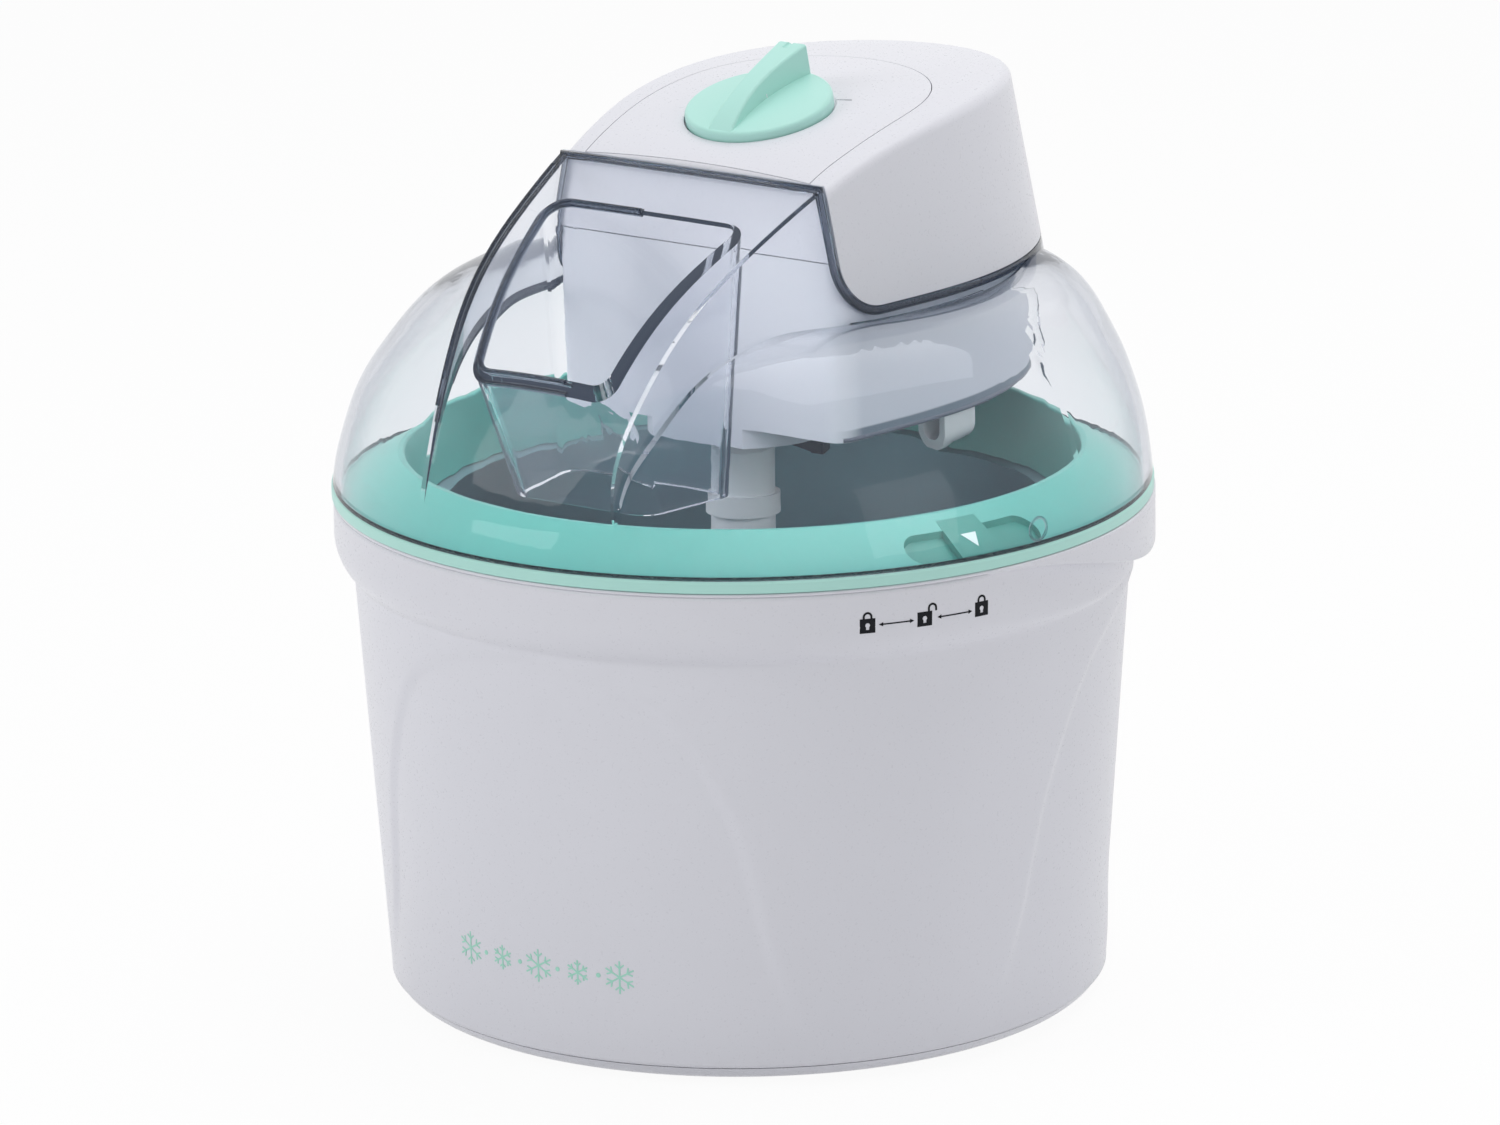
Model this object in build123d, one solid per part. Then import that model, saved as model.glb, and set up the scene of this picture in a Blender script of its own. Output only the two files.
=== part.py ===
from build123d import *
import math
import os

os.makedirs("parts", exist_ok=True)

# An ice cream maker: a tapered bucket holds a double-walled freezer tub, a lock ring
# closes over the tub, and a clear lid with a fill chute carries a lift-off motor unit
# that turns a paddle.  Millimetres, +Z up, origin on the surface it stands on, at the
# axis of the tub.  The front, with the chute, faces -Y.

# ---------------------------------------------------------------- driving sizes
# housing
foot_drop = 1.5
base_edge_radius = 6.7
seam_height = 5.2
seam_gap = 0.3
rim_radius = 104.0
crease_radius = rim_radius - 4.8
base_radius = rim_radius - 12.0
housing_height = 131.0
flare_top_height = housing_height - 9.5
crease_height = flare_top_height - 10.0
housing_wall = 2.4
panel_pitch = 120.0
panel_depth = 0.7
panel_low_height = foot_drop + base_edge_radius + 0.8
panel_top_height = crease_height - 3.5
lip_radius = rim_radius + 0.7
lip_wall = 2.3
lip_half_width = rim_radius - 24.0
lip_low_height = housing_height - 14.0
lip_half_angle = 49.0
grip_roof = 3.0
grip_shift = 15.8
grip_rise = 1.5

# base plate and feet
base_plate_thickness = 2.5
base_rib_radius = base_radius - 32.0
base_rib_wall = 3.0
foot_circle_radius = base_radius - 20.0
foot_radius = 7.0
foot_pocket = 1.2
foot_count = 4
base_screw_circle = base_radius - 9.0
base_screw_count = 4
base_screw_length = 8.0
boss_radius = 4.0
boss_height = 12.5
screw_radius = 1.5
screw_head_radius = 2.9
screw_head_height = 1.8
screw_clearance = 0.05
fit_clearance = 0.02

# freezer tub
tub_inner_radius = rim_radius - 28.0
tub_floor_radius = tub_inner_radius - 3.5
tub_floor_height = 27.0
tub_rim_height = housing_height - 3.8
tub_metal = 1.2
tub_flange_radius = tub_inner_radius + 7.0
tub_outer_radius = rim_radius - 13.6
tub_outer_floor_radius = tub_outer_radius - 4.4
tub_seat_height = 14.0
tub_shell = 1.8
tub_shoulder_height = tub_rim_height - 13.2
tub_corner_radius = 10.0
coolant_clearance = 0.1
coolant_top_height = tub_rim_height - 19.2
rim_seal_height = 3.0
rim_seal_gap = 0.4

# lock ring
ring_gap = 0.2
ring_wall = 2.4
ring_outer_radius = rim_radius + 0.4
ring_lip_height = 3.0
ring_top_radius = ring_outer_radius - 18.4
ring_top_height = housing_height + 11.5
ring_slope_radius = ring_outer_radius - 3.2
ring_skirt_radius = tub_outer_radius + 3.5
ring_skirt_low = housing_height - 9.0
ring_mouth_radius = tub_inner_radius + 3.6
ring_mouth_gap = 0.3
slot_start_angle = 59.0
slot_end_angle = 82.5
slot_inner_radius = ring_outer_radius - 12.2
slot_outer_radius = ring_outer_radius - 3.2
slot_depth = 1.5
tab_angle = 70.4
tab_width = 13.0
tab_rise = 0.4
tab_overlap = 3.0
lug_count = 3
lug_radius = ring_skirt_radius + 2.5
lug_height = 2.2
lug_half_angle = 3.5
stop_gap = 0.3
stop_height = 7.0
stop_width = 1.0
lock_turn = -18.2

# lid
lid_wall = 2.4
dome_height = 50.6
outline_radius = 104.0
hood_level = housing_height + 54.5
hood_half_width = rim_radius - 50.5
nose_half_width = 16.8
hood_middle = 30.0
hood_rear_length = rim_radius - 31.9
side_draft = 12.0
rear_draft = 8.0
hood_limit_radius = rim_radius - 0.2
hood_bottom = housing_height - 1.0
hood_top = hood_level + 50.5
chute_floor_height = housing_height + 10.5
chute_wall = 2.2
chute_corner_radius = 4.5
hood_back = -20.0
saddle_radius = 12.0

# motor unit
unit_gap = 0.3
unit_wall = 2.4
unit_inset = 3.0
unit_floor_height = housing_height + 20.5
edge_radius = 3.0
inlay_thickness = 2.0
inlay_gap = 0.25
unit_collar_height = hood_level + 4.5
unit_limit_radius = rim_radius - 3.2
unit_corner_radius = 6.0
crown_axis_height = hood_level - 363.0
hub_radius = 24.0
hub_drop = 5.0
post_radius = 4.5
post_top_height = hood_level - 2.5
cover_screw_length = 11.0
gland_height = hood_level + 9.5
gland_reach = ring_outer_radius - 0.2
gland_radius = 5.0
gland_bore = 3.0
catch_x = 39.5
catch_front = 27.0
catch_length = 14.0
catch_width = 8.0
catch_height = 10.5
catch_wall = 1.6
hook_radius = 21.0
hook_angle = 104.4
hook_width = 5.0
hook_length = 3.2
hook_reach = 6.0
hook_low_height = unit_floor_height - 9.7
hook_travel = 2.5
hook_gap = 0.3

# knob
knob_centre_y = 9.6
knob_tilt = 14.0
knob_radius = 18.9
knob_gap = 0.5
knob_height = 3.6
knob_dome = 1.3
knob_sink = 1.2
knob_surface_height = hood_level + 41.0
grip_height = 10.4
grip_half_width = 3.9
grip_waist = 3.0
grip_front = 18.0
grip_rear = 18.4
grip_notch = 0.9
spindle_radius = 3.0
spindle_length = 14.0
switch_radius = 9.0
switch_top = 5.4
switch_length = 12.0

# drive train
gear_module = 1.0
output_teeth = 30
idler_small_teeth = 12
idler_large_teeth = 36
pinion_teeth = 12
gear_clearance = 0.15
gear_addendum = 0.85
gear_dedendum = 1.15
gear_tooth_width = 1.25
gear_flank = 20.0
output_gear_height = unit_floor_height + 4.5
gear_face = 6.0
gear_step_gap = 1.0
shaft_radius = 3.0
axle_radius = 2.0
running_clearance = 0.05
bushing_radius = 5.0
plate_height = unit_floor_height + 19.0
plate_thickness = 2.5
plate_half_width = 30.0
plate_front = -14.0
plate_rear = 80.0
plate_screw_x = 24.0
plate_screw_front = -8.0
plate_screw_rear = 73.0
coupling_radius = 8.2
coupling_collar_radius = 9.5
coupling_low_height = housing_height - 12.5
coupling_top_height = unit_floor_height - 9.0
coupling_spigot_radius = 5.0
coupling_spigot_length = 14.0
motor_can_radius = 24.0
motor_can_height = 20.0

# paddle
paddle_hub_radius = 7.5
paddle_floor_gap = 1.2
paddle_gap = 0.3
paddle_reach = tub_floor_radius - 2.5
paddle_top_height = tub_rim_height - 23.2
paddle_thickness = 4.0
paddle_bar_width = 8.0
paddle_corner_radius = 14.0


# ---------------------------------------------------------------- shared helpers
BASE = (Align.CENTER, Align.CENTER, Align.MIN)


def disc(radius, low, high, x=0.0, y=0.0):
    """An upright cylinder between two heights."""
    return Pos(x, y, low) * Cylinder(radius, high - low, align=BASE)


def tube(outer, inner, low, high, x=0.0, y=0.0):
    """An upright tube between two heights."""
    return disc(outer, low, high, x, y) - disc(inner, low, high, x, y)


def block(low, high):
    """A box between two corners."""
    size = [b - a for a, b in zip(low, high)]
    return Pos(*low) * Box(*size, align=(Align.MIN, Align.MIN, Align.MIN))


def polar(radius, angle):
    """The place at `angle` degrees from the front (-Y), positive towards +X."""
    turn = math.radians(angle)
    return radius * math.sin(turn), -radius * math.cos(turn)


def turned(points, rounds=()):
    """A solid of revolution from a section in radius and height, some corners rounded."""
    section = make_face(Plane.XZ * Polyline(*points, close=True))
    for index, radius in rounds:
        x, z = points[index]
        corner = section.vertices().sort_by_distance((x, 0, z))[0]
        section = fillet(corner, radius)
    return revolve(section, Axis.Z)


def facing(angle):
    """A plane through the axis whose normal points out at `angle` from the front."""
    x, y = polar(1.0, angle)
    return Plane(origin=(0, 0, 0), x_dir=(-y, x, 0), z_dir=(x, y, 0))


def sector(angle, half_angle, low, high):
    """A wedge about the axis, centred on `angle` from the front."""
    points = [(0, 0)]
    for step in range(-2, 3):
        points.append(polar(3 * rim_radius, angle + step * half_angle / 2))
    return Pos(0, 0, low) * extrude(make_face(Polyline(*points, close=True)), high - low)


def side_view(edges, half_width):
    """A solid drawn in side view (y, z) and drawn out to both sides."""
    return extrude(Plane.YZ * make_face(Curve(edges)), half_width, both=True)


def screw(x, y, low, length):
    """A pan-head screw driven upwards from `low`."""
    shank = disc(screw_radius, low + screw_head_height, low + screw_head_height + length, x, y)
    return shank + disc(screw_head_radius, low, low + screw_head_height, x, y)


# ---------------------------------------------------------------- housing and base
def bucket(inset):
    """The bucket as a filled solid, its face `inset` inside the outer one."""
    reach = rim_radius - crease_radius
    rise = flare_top_height - crease_height
    flare = (reach**2 + rise**2) / (2 * reach)
    centre = Vector(rim_radius - flare, flare_top_height)
    outwards = (Vector(crease_radius, crease_height) - centre).normalized()
    crease = centre + outwards * (flare - inset)
    sweep = math.atan2(outwards.Y, outwards.X) / 2
    middle = centre + Vector(math.cos(sweep), math.sin(sweep)) * (flare - inset)
    foot = Vector(base_radius - base_edge_radius, foot_drop + base_edge_radius)
    edge = base_edge_radius - inset
    slant = edge * math.sqrt(0.5)
    top = rim_radius - inset
    edges = [
        Line((0, foot_drop + inset), (foot.X, foot.Y - edge)),
        ThreePointArc(
            (foot.X, foot.Y - edge), (foot.X + slant, foot.Y - slant), (foot.X + edge, foot.Y)
        ),
        Line((foot.X + edge, foot.Y), (crease.X, crease.Y)),
        ThreePointArc((crease.X, crease.Y), (middle.X, middle.Y), (top, flare_top_height)),
        Line((top, flare_top_height), (top, housing_height)),
        Line((top, housing_height), (0, housing_height)),
        Line((0, housing_height), (0, foot_drop + inset)),
    ]
    return revolve(Plane.XZ * make_face(Curve(edges)), Axis.Z)


def arched_panel(angle):
    """The shell of material taken off one arched side panel of the housing."""
    wide = rim_radius / outline_radius
    rise = (panel_top_height - panel_low_height) / 99
    stations = [(0, 99), (35.5, 89), (54, 62.7), (60, 39), (66, 14), (73, 0)]
    points = [(x * wide, panel_low_height + z * rise) for x, z in stations]
    edge = Spline(*points, tangents=[(1, 0), (0.5, -1)])
    foot = points[-1]
    outline = [Line(foot, (-foot[0], foot[1])), mirror(edge, about=Plane.YZ), edge]
    field = extrude(facing(angle) * make_face(Curve(outline)), rim_radius + 10)
    level = foot_drop + base_edge_radius
    draft = (crease_radius - base_radius) / (crease_height - level)
    low = base_radius - level * draft - panel_depth
    return field - Cone(low, low + housing_height * draft, housing_height, align=BASE)


def lip_field(angle):
    """Everything above the curved lower edge of a finger lip."""
    low_end = housing_height - 1.1
    edge = Spline(
        (-lip_half_width, low_end),
        (-lip_half_width / 2, lip_low_height + 5.4),
        (0, lip_low_height),
        (lip_half_width / 2, lip_low_height + 5.4),
        (lip_half_width, low_end),
        tangents=[(1, 0), (1, 0)],
    )
    outline = [
        edge,
        Line((lip_half_width, low_end), (lip_half_width, housing_height)),
        Line((lip_half_width, housing_height), (-lip_half_width, housing_height)),
        Line((-lip_half_width, housing_height), (-lip_half_width, low_end)),
    ]
    return extrude(facing(angle) * make_face(Curve(outline)), lip_radius + 10)


def with_finger_grip(wall, angle):
    """The housing wall with one recessed grip under a finger lip."""
    x, y = polar(-grip_shift, angle)
    hollow = crease_radius + grip_shift
    low = crease_height - grip_rise
    region = sector(angle, lip_half_angle, low, housing_height)
    backing = tube(hollow, hollow - housing_wall, low, housing_height, x, y)
    cleared = (region & disc(2 * rim_radius, low, housing_height)) - disc(
        hollow, low, housing_height, x, y
    )
    field = lip_field(angle)
    lip = tube(lip_radius, lip_radius - lip_wall, lip_low_height - 1, housing_height) & field
    roof = disc(lip_radius, housing_height - grip_roof, housing_height) & cleared & field
    return wall + (backing & region & bucket(0)) - cleared + lip + roof


def lock_angles():
    """Angles of the lugs under the ring, spread evenly from the marked tab."""
    return [tab_angle + index * 360 / lug_count for index in range(lug_count)]


def base_screw_places():
    """Where the base screws stand."""
    count = base_screw_count
    return [polar(base_screw_circle, 45 + index * 360 / count) for index in range(count)]


def make_housing():
    """Tapered wall with arched panels, finger grips, ring stops and screw bosses."""
    wall = bucket(0) - bucket(housing_wall)
    for index in range(3):
        wall -= arched_panel(index * panel_pitch)
    low, high = ring_skirt_low - 2, ring_skirt_low - 2 + stop_height
    stops = tube(rim_radius - housing_wall / 2, ring_skirt_radius + stop_gap, low, high)
    reach = lug_half_angle + stop_width + 0.2
    for angle in lock_angles():
        for turn in (reach, lock_turn - reach):
            wall += stops & sector(angle + turn, stop_width, low, high)
    for angle in (panel_pitch, -panel_pitch):
        wall = with_finger_grip(wall, angle)
    low = seam_height + seam_gap
    wall &= disc(2 * rim_radius, low, housing_height)
    for index, (x, y) in enumerate(base_screw_places()):
        web = block((base_screw_circle, -1.5, low), (base_radius - 1.5, 1.5, boss_height))
        wall += disc(boss_radius, low, boss_height, x, y)
        wall += Rot(0, 0, 45 + index * 360 / base_screw_count - 90) * web
    for x, y in base_screw_places():
        wall -= disc(screw_radius + screw_clearance, low, boss_height - 1, x, y)
    return wall


def make_base_plate():
    """Floor of the housing with the ring that carries the tub."""
    floor_top = foot_drop + base_plate_thickness
    plate = bucket(0) & disc(rim_radius, 0, seam_height)
    plate -= bucket(housing_wall) & disc(rim_radius, floor_top, seam_height)
    plate += tube(base_rib_radius, base_rib_radius - base_rib_wall, floor_top, tub_seat_height)
    for x, y in base_screw_places():
        plate += disc(boss_radius, floor_top, seam_height, x, y)
        plate -= disc(screw_radius + screw_clearance, 0, seam_height, x, y)
        head = screw_head_radius + screw_clearance
        plate -= disc(head, 0, foot_drop + screw_head_height + 0.1, x, y)
    for x, y in foot_places():
        plate -= disc(foot_radius, 0, foot_drop + foot_pocket, x, y)
    return plate


def foot_places():
    """Where the rubber feet stand."""
    return [polar(foot_circle_radius, index * 360 / foot_count) for index in range(foot_count)]


def make_rubber_feet():
    """Round feet let into the underside of the base plate."""
    feet = []
    for x, y in foot_places():
        foot = disc(foot_radius - fit_clearance, 0, foot_drop + foot_pocket, x, y)
        feet.append(chamfer(foot.edges().sort_by(Axis.Z)[0], 0.5))
    return Compound(children=feet)


def make_base_screws():
    """Screws that hold the base plate to the housing."""
    low = foot_drop + 0.1
    return Compound(
        children=[screw(x, y, low, base_screw_length) for x, y in base_screw_places()]
    )


# ---------------------------------------------------------------- freezer tub
def bowl(grow, top):
    """The inner bowl as a filled solid, its face `grow` outside the inner one."""
    points = [
        (0, tub_floor_height - grow),
        (tub_floor_radius + grow, tub_floor_height - grow),
        (tub_inner_radius + grow, top),
        (0, top),
    ]
    return turned(points, [(1, tub_corner_radius + grow)])


def shell_body(inset):
    """The outer bowl as a filled solid, its face `inset` inside the outer one."""
    top = tub_rim_height - tub_metal - rim_seal_height
    shoulder = tub_shoulder_height - inset / 2
    points = [
        (0, tub_seat_height + inset),
        (tub_outer_floor_radius - inset, tub_seat_height + inset),
        (tub_outer_radius - inset, shoulder),
        (tub_flange_radius + 0.5 - inset, top - inset),
        (0, top - inset),
    ]
    return turned(points, [(1, tub_corner_radius - inset), (2, 6 - inset)])


def make_tub_inner():
    """Thin metal bowl with a flat flange."""
    flange_low = tub_rim_height - tub_metal
    inner = bowl(tub_metal, tub_rim_height)
    flange = disc(tub_flange_radius, flange_low, tub_rim_height)
    return (inner + flange) - bowl(0, tub_rim_height)


def make_tub_outer():
    """Plastic outer bowl with a mouth for the inner one."""
    mouth = tub_inner_radius + tub_metal + rim_seal_gap
    top = tub_rim_height - tub_metal - rim_seal_height
    return shell_body(0) - shell_body(tub_shell) - disc(mouth, tub_shoulder_height, top)


def make_coolant():
    """Cooling gel between the bowls, with room left above it to expand."""
    space = shell_body(tub_shell + coolant_clearance)
    space &= disc(tub_outer_radius, tub_seat_height, coolant_top_height)
    return space - bowl(tub_metal + coolant_clearance, tub_rim_height)


def make_rim_seal():
    """Rubber ring between the outer bowl and the flange of the inner one."""
    high = tub_rim_height - tub_metal
    inner = tub_inner_radius + tub_metal + rim_seal_gap
    return tube(tub_flange_radius - 0.5, inner, high - rim_seal_height, high)


# ---------------------------------------------------------------- lock ring
def ring_levels():
    """Underside and top of the lip that the lid stands on."""
    low = housing_height + ring_gap
    return low, low + ring_lip_height


def slope_layer(low, high):
    """A layer along the slope of the ring, between two heights over the slope."""
    seat = ring_levels()[1]
    rise = (ring_top_height - seat) / (ring_slope_radius - ring_top_radius)
    inner = ring_top_radius
    level = seat + (ring_slope_radius - inner) * rise
    return turned(
        [
            (ring_slope_radius, seat + low),
            (ring_slope_radius, seat + high),
            (inner, level + high),
            (inner, level + low),
        ]
    )


def slot_outline():
    """The lock slot drawn up through the ring, with round ends."""
    low, high = ring_levels()[0], ring_top_height
    middle = (slot_inner_radius + slot_outer_radius) / 2
    half_width = (slot_outer_radius - slot_inner_radius) / 2
    end = math.degrees(half_width / middle)
    centre = (slot_start_angle + slot_end_angle) / 2
    half = (slot_end_angle - slot_start_angle) / 2 - end
    slot = tube(slot_outer_radius, slot_inner_radius, low, high)
    slot &= sector(centre, half, low, high)
    for angle in (centre - half, centre + half):
        slot += disc(half_width, low, high, *polar(middle, angle))
    return slot


def make_lock_ring():
    """Ring over the tub flange with a lock slot, a marked tab and lugs between stops."""
    low, seat = ring_levels()
    mouth_low = tub_rim_height + ring_mouth_gap
    skirt_inner = ring_skirt_radius - ring_wall
    points = [
        (ring_outer_radius, low),
        (ring_outer_radius, seat),
        (ring_slope_radius, seat),
        (ring_top_radius + 0.8, ring_top_height),
        (ring_top_radius - 0.8, ring_top_height),
        (ring_mouth_radius, mouth_low),
        (ring_mouth_radius + ring_wall, mouth_low),
        (ring_top_radius + 1, ring_top_height - 3.4),
        (skirt_inner, seat + 1),
        (skirt_inner, ring_skirt_low),
        (ring_skirt_radius, ring_skirt_low),
        (ring_skirt_radius, low),
    ]
    ring = turned(points, [(1, 0.8), (3, 0.7), (4, 0.7)])
    lug = tube(lug_radius, skirt_inner + 1, ring_skirt_low, ring_skirt_low + lug_height)
    for angle in lock_angles():
        ring += lug & sector(angle, lug_half_angle, ring_skirt_low, housing_height)
    ring -= slot_outline() & slope_layer(-slot_depth, slot_depth)
    half_tab = math.degrees(tab_width / 2 / slot_outer_radius)
    tab = tube(slot_outer_radius, slot_inner_radius - tab_overlap, low, ring_top_height)
    tab &= sector(tab_angle, half_tab, low, ring_top_height)
    return ring + (tab & slope_layer(-slot_depth - 0.2, tab_rise))


# ---------------------------------------------------------------- lid
def dome(grow):
    """The dome as a filled solid; rows hold height over the rim, inset and rear shift."""
    rows = [
        (0, 0, 0),
        (5.5, 0.6, 0.3),
        (11.5, 1.8, 0.9),
        (17.8, 3.5, 1.4),
        (24, 5.8, 2.0),
        (30.4, 9.1, 3.5),
        (36.4, 13, 4.9),
        (42.8, 18, 7),
        (46.4, 22.5, 8.8),
        (49, 28.5, 10.5),
        (dome_height - 0.4, 38, 12.5),
        (dome_height, 54, 15),
    ]
    seat = ring_levels()[1]
    faces = []
    for height, inset, shift in rows:
        level = seat + height + grow * min(height, 30) / 30
        radius = rim_radius * (1 - inset / outline_radius) + grow
        faces.append(Pos(0, shift, level) * make_face(Circle(radius).edge()))
    return loft(faces)


def boat_face(level, inset):
    """Outline that the hood and the motor unit share, at one height."""
    side = (hood_level - level) * math.tan(math.radians(side_draft)) - inset
    rear = (hood_level - level) * math.tan(math.radians(rear_draft)) - inset
    stations = [(32.4, -6), (25.2, -42), (15.7, -75.4), (4.3, -96.8), (0, -104)]
    wide = rim_radius / outline_radius
    points = [(hood_half_width + side, hood_middle)]
    points += [(nose_half_width + x * wide + side, y * wide) for x, y in stations]
    right = Spline(*points, tangents=[(0, -1), (-0.5, -1)])
    nose, tip = points[-1]
    half_width = points[0][0]
    back = EllipticalCenterArc(
        (0, hood_middle), half_width, hood_rear_length + rear, start_angle=0, arc_size=180
    )
    front = Line((-nose, tip), (nose, tip))
    return Pos(0, 0, level) * make_face(Curve([right, mirror(right, about=Plane.YZ), back, front]))


def boat(low, high, inset):
    """The shared outline drawn up between two heights with its draft."""
    return loft([boat_face(low, inset), boat_face(high, inset)], ruled=True)


def bow():
    """The front of the hood; rows hold height over the rim, inset of the crease and bulge."""
    rows = [
        (-14.2, 5.4, 5),
        (0, 5.4, 5),
        (15.1, 7.4, 4.4),
        (31.8, 12.4, 3),
        (42.3, 18.9, 2.3),
        (53.8, 28.6, 1.5),
        (60.8, 36.9, 1),
        (74.5, 62.4, 0.5),
        (82, 81, 0.3),
        (86.3, 96, 0.3),
    ]
    faces = []
    for height, inset, bulge in rows:
        level = ring_levels()[1] + height
        tip = inset - rim_radius - bulge
        radius = (30**2 + bulge**2) / (2 * bulge)
        drop = radius - math.sqrt(radius**2 - 60**2)
        arc = ThreePointArc((-60, tip + drop), (0, tip), (60, tip + drop))
        sides = [
            Line((60, tip + drop), (60, 120)),
            Line((60, 120), (-60, 120)),
            Line((-60, 120), (-60, tip + drop)),
        ]
        faces.append(Pos(0, 0, level) * make_face(Curve([arc] + sides)))
    return loft(faces)


def saddle(gap):
    """The space over the edge of the lid that the motor unit sits in."""
    front = hood_back + gap
    level = hood_level + gap
    radius = saddle_radius - gap
    slant = radius * (1 - math.sqrt(0.5))
    edges = [
        Line((front, hood_top + 4), (front, level + radius)),
        ThreePointArc(
            (front, level + radius), (front + slant, level + slant), (front + radius, level)
        ),
        Line((front + radius, level), (120, level)),
        Line((120, level), (120, hood_top + 4)),
        Line((120, hood_top + 4), (front, hood_top + 4)),
    ]
    return side_view(edges, 80)


def chute(grow):
    """The fill chute as a filled solid that leans forwards, `grow` outside its inner face."""
    rows = [
        (chute_floor_height, 19.4, 35.6, 23.6, 64.2),
        (hood_top, 18.4, -10.5, 30.8, 64.8),
    ]
    faces = []
    for level, front_x, front_inset, back_x, back_inset in rows:
        front_y, back_y = front_inset - rim_radius, back_inset - rim_radius
        outline = Polyline(
            (-front_x, front_y), (front_x, front_y), (back_x, back_y), (-back_x, back_y), close=True
        )
        face = make_face(outline)
        face = fillet(face.vertices(), chute_corner_radius)
        if grow:
            face = offset(face, grow)
        faces.append(Pos(0, 0, level) * face)
    return loft(faces, ruled=True)


def make_lid():
    """Clear dome with the hood, the fill chute and the seat of the motor unit."""
    hood = boat(hood_bottom, hood_top, 0) & bow() & disc(hood_limit_radius, 0, hood_top)
    seat = ring_levels()[1]
    hood &= disc(2 * rim_radius, seat, hood_top)
    outer = dome(0) + hood
    inner_bow = Pos(0, lid_wall - 0.2, -1.6) * bow()
    inner_hood = boat(hood_bottom, hood_top, lid_wall) & inner_bow
    inner_hood &= disc(hood_limit_radius - lid_wall, 0, hood_top)
    inner = dome(-lid_wall) + (inner_hood & disc(2 * rim_radius, seat, hood_top))
    walls = (chute(chute_wall) - chute(0)) & outer
    lid = outer - inner + walls
    return lid - chute(0) - saddle(0)


# ---------------------------------------------------------------- motor unit
def crown(drop):
    """Everything under the crowned top of the motor unit, lowered by `drop`."""
    rows = [(-32, 23.9), (-19.5, 32.3), (-5, 37.5), (9.6, 41), (25, 43.2)]
    rows += [(45, 44.6), (60, 44.6), (75, 43.9), (97, 41.7), (110, 39.9)]
    points = [(y, hood_level + z - drop) for y, z in rows]
    start, end = points[0], points[-1]
    low = hood_level - 25
    edges = [
        Spline(*points),
        Line(end, (end[0], low)),
        Line((end[0], low), (start[0], low)),
        Line((start[0], low), start),
    ]
    axis = Axis((0, 0, crown_axis_height), (0, 1, 0))
    face = Plane.YZ * make_face(Curve(edges))
    return revolve(face.rotate(axis, -12), axis, 24)


def inlay_outline(grow, low, high):
    """The outline of the top panel as an upright solid, grown by `grow`."""
    rows = [
        (34.1, -18.2, 1, -1),
        (35.1, -4.8, 1, 0),
        (35.8, 7.9, 1, 0),
        (35.6, 22, 1, 0),
        (33.7, 34, 0.95, 0.3),
        (28.4, 45, 0.7, 0.7),
        (0, 59.5, 0, 1),
    ]
    wide = rim_radius / outline_radius
    stations = [(x * wide + grow * out, y + grow * back) for x, y, out, back in rows]
    right = Spline(*stations, tangents=[(0.05, 1), (-1, 0)])
    corner = stations[0]
    front = Line((-corner[0], corner[1]), corner)
    face = make_face(Curve([right, mirror(right, about=Plane.YZ), front]))
    return Pos(0, 0, low) * extrude(face, high - low)


def knob_plane():
    """Plane of the knob: its normal is the axis that the knob turns about."""
    tilt = math.radians(knob_tilt)
    centre = (0, knob_centre_y, knob_surface_height)
    return Plane(origin=centre, x_dir=(1, 0, 0), z_dir=(0, -math.sin(tilt), math.cos(tilt)))


def along_knob(radius, low, high):
    """A cylinder about the knob axis between two distances from the panel."""
    return knob_plane() * disc(radius, low, high)


def cover_screw_places():
    """Where the screws stand that close the motor unit."""
    front_x = hood_half_width - 17.5
    middle_x = hood_half_width - 12.5
    rear = rim_radius - 18
    return [(front_x, -6), (-front_x, -6), (middle_x, 38), (-middle_x, 38), (0, rear)]


def plate_screw_places():
    """Where the gear plate is screwed down."""
    rows = (plate_screw_front, plate_screw_rear)
    return [(side * plate_screw_x, y) for side in (-1, 1) for y in rows]


def make_motor_cover():
    """Upper shell of the motor unit with the pocket for the top panel."""
    low = hood_level + unit_gap
    body = boat(low, hood_top, 0) & crown(0) & saddle(unit_gap)
    top_edges = body.edges().filter_by(lambda edge: edge.center().Z > hood_level + 29)
    body = fillet(top_edges, edge_radius)
    front = hood_back + unit_gap + unit_wall
    cavity = boat(low - 1, hood_top, unit_wall) & crown(unit_wall)
    under_front = block((-80, hood_back - 10, low - 1), (80, front, low + saddle_radius - unit_gap))
    cavity &= block((-rim_radius, front, low - 1), (rim_radius, 120, hood_top)) + under_front
    pad = inlay_outline(unit_wall, low, hood_top) - crown(unit_wall + inlay_thickness)
    cover = body - (cavity - pad)
    for x, y in cover_screw_places():
        boss = disc(post_radius, post_top_height + unit_gap, hood_top, x, y)
        cover += boss & crown(unit_wall / 2) & boat(low - 4, hood_top, unit_wall / 2)
    cover -= inlay_outline(inlay_gap, low, hood_top) - crown(inlay_thickness + screw_clearance)
    for x, y in cover_screw_places():
        bore = screw_radius + screw_clearance
        cover -= disc(bore, post_top_height, post_top_height + cover_screw_length, x, y)
    cover -= along_knob(spindle_radius + running_clearance, -12, 8)
    cover -= along_knob(knob_radius + knob_gap, -knob_sink - knob_gap, 8)
    gland = gland_radius + fit_clearance
    hole = Pos(0, rim_radius - 14, gland_height) * Rot(-90, 0, 0) * disc(gland, 0, 20)
    return cover - hole


def make_top_inlay():
    """Panel let flush into the top of the motor unit."""
    panel = inlay_outline(0, hood_level, hood_top) & crown(0)
    panel -= crown(inlay_thickness)
    panel -= along_knob(knob_radius + knob_gap, -knob_sink - knob_gap, 8)
    return panel - along_knob(spindle_radius + running_clearance, -12, 8)


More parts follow.
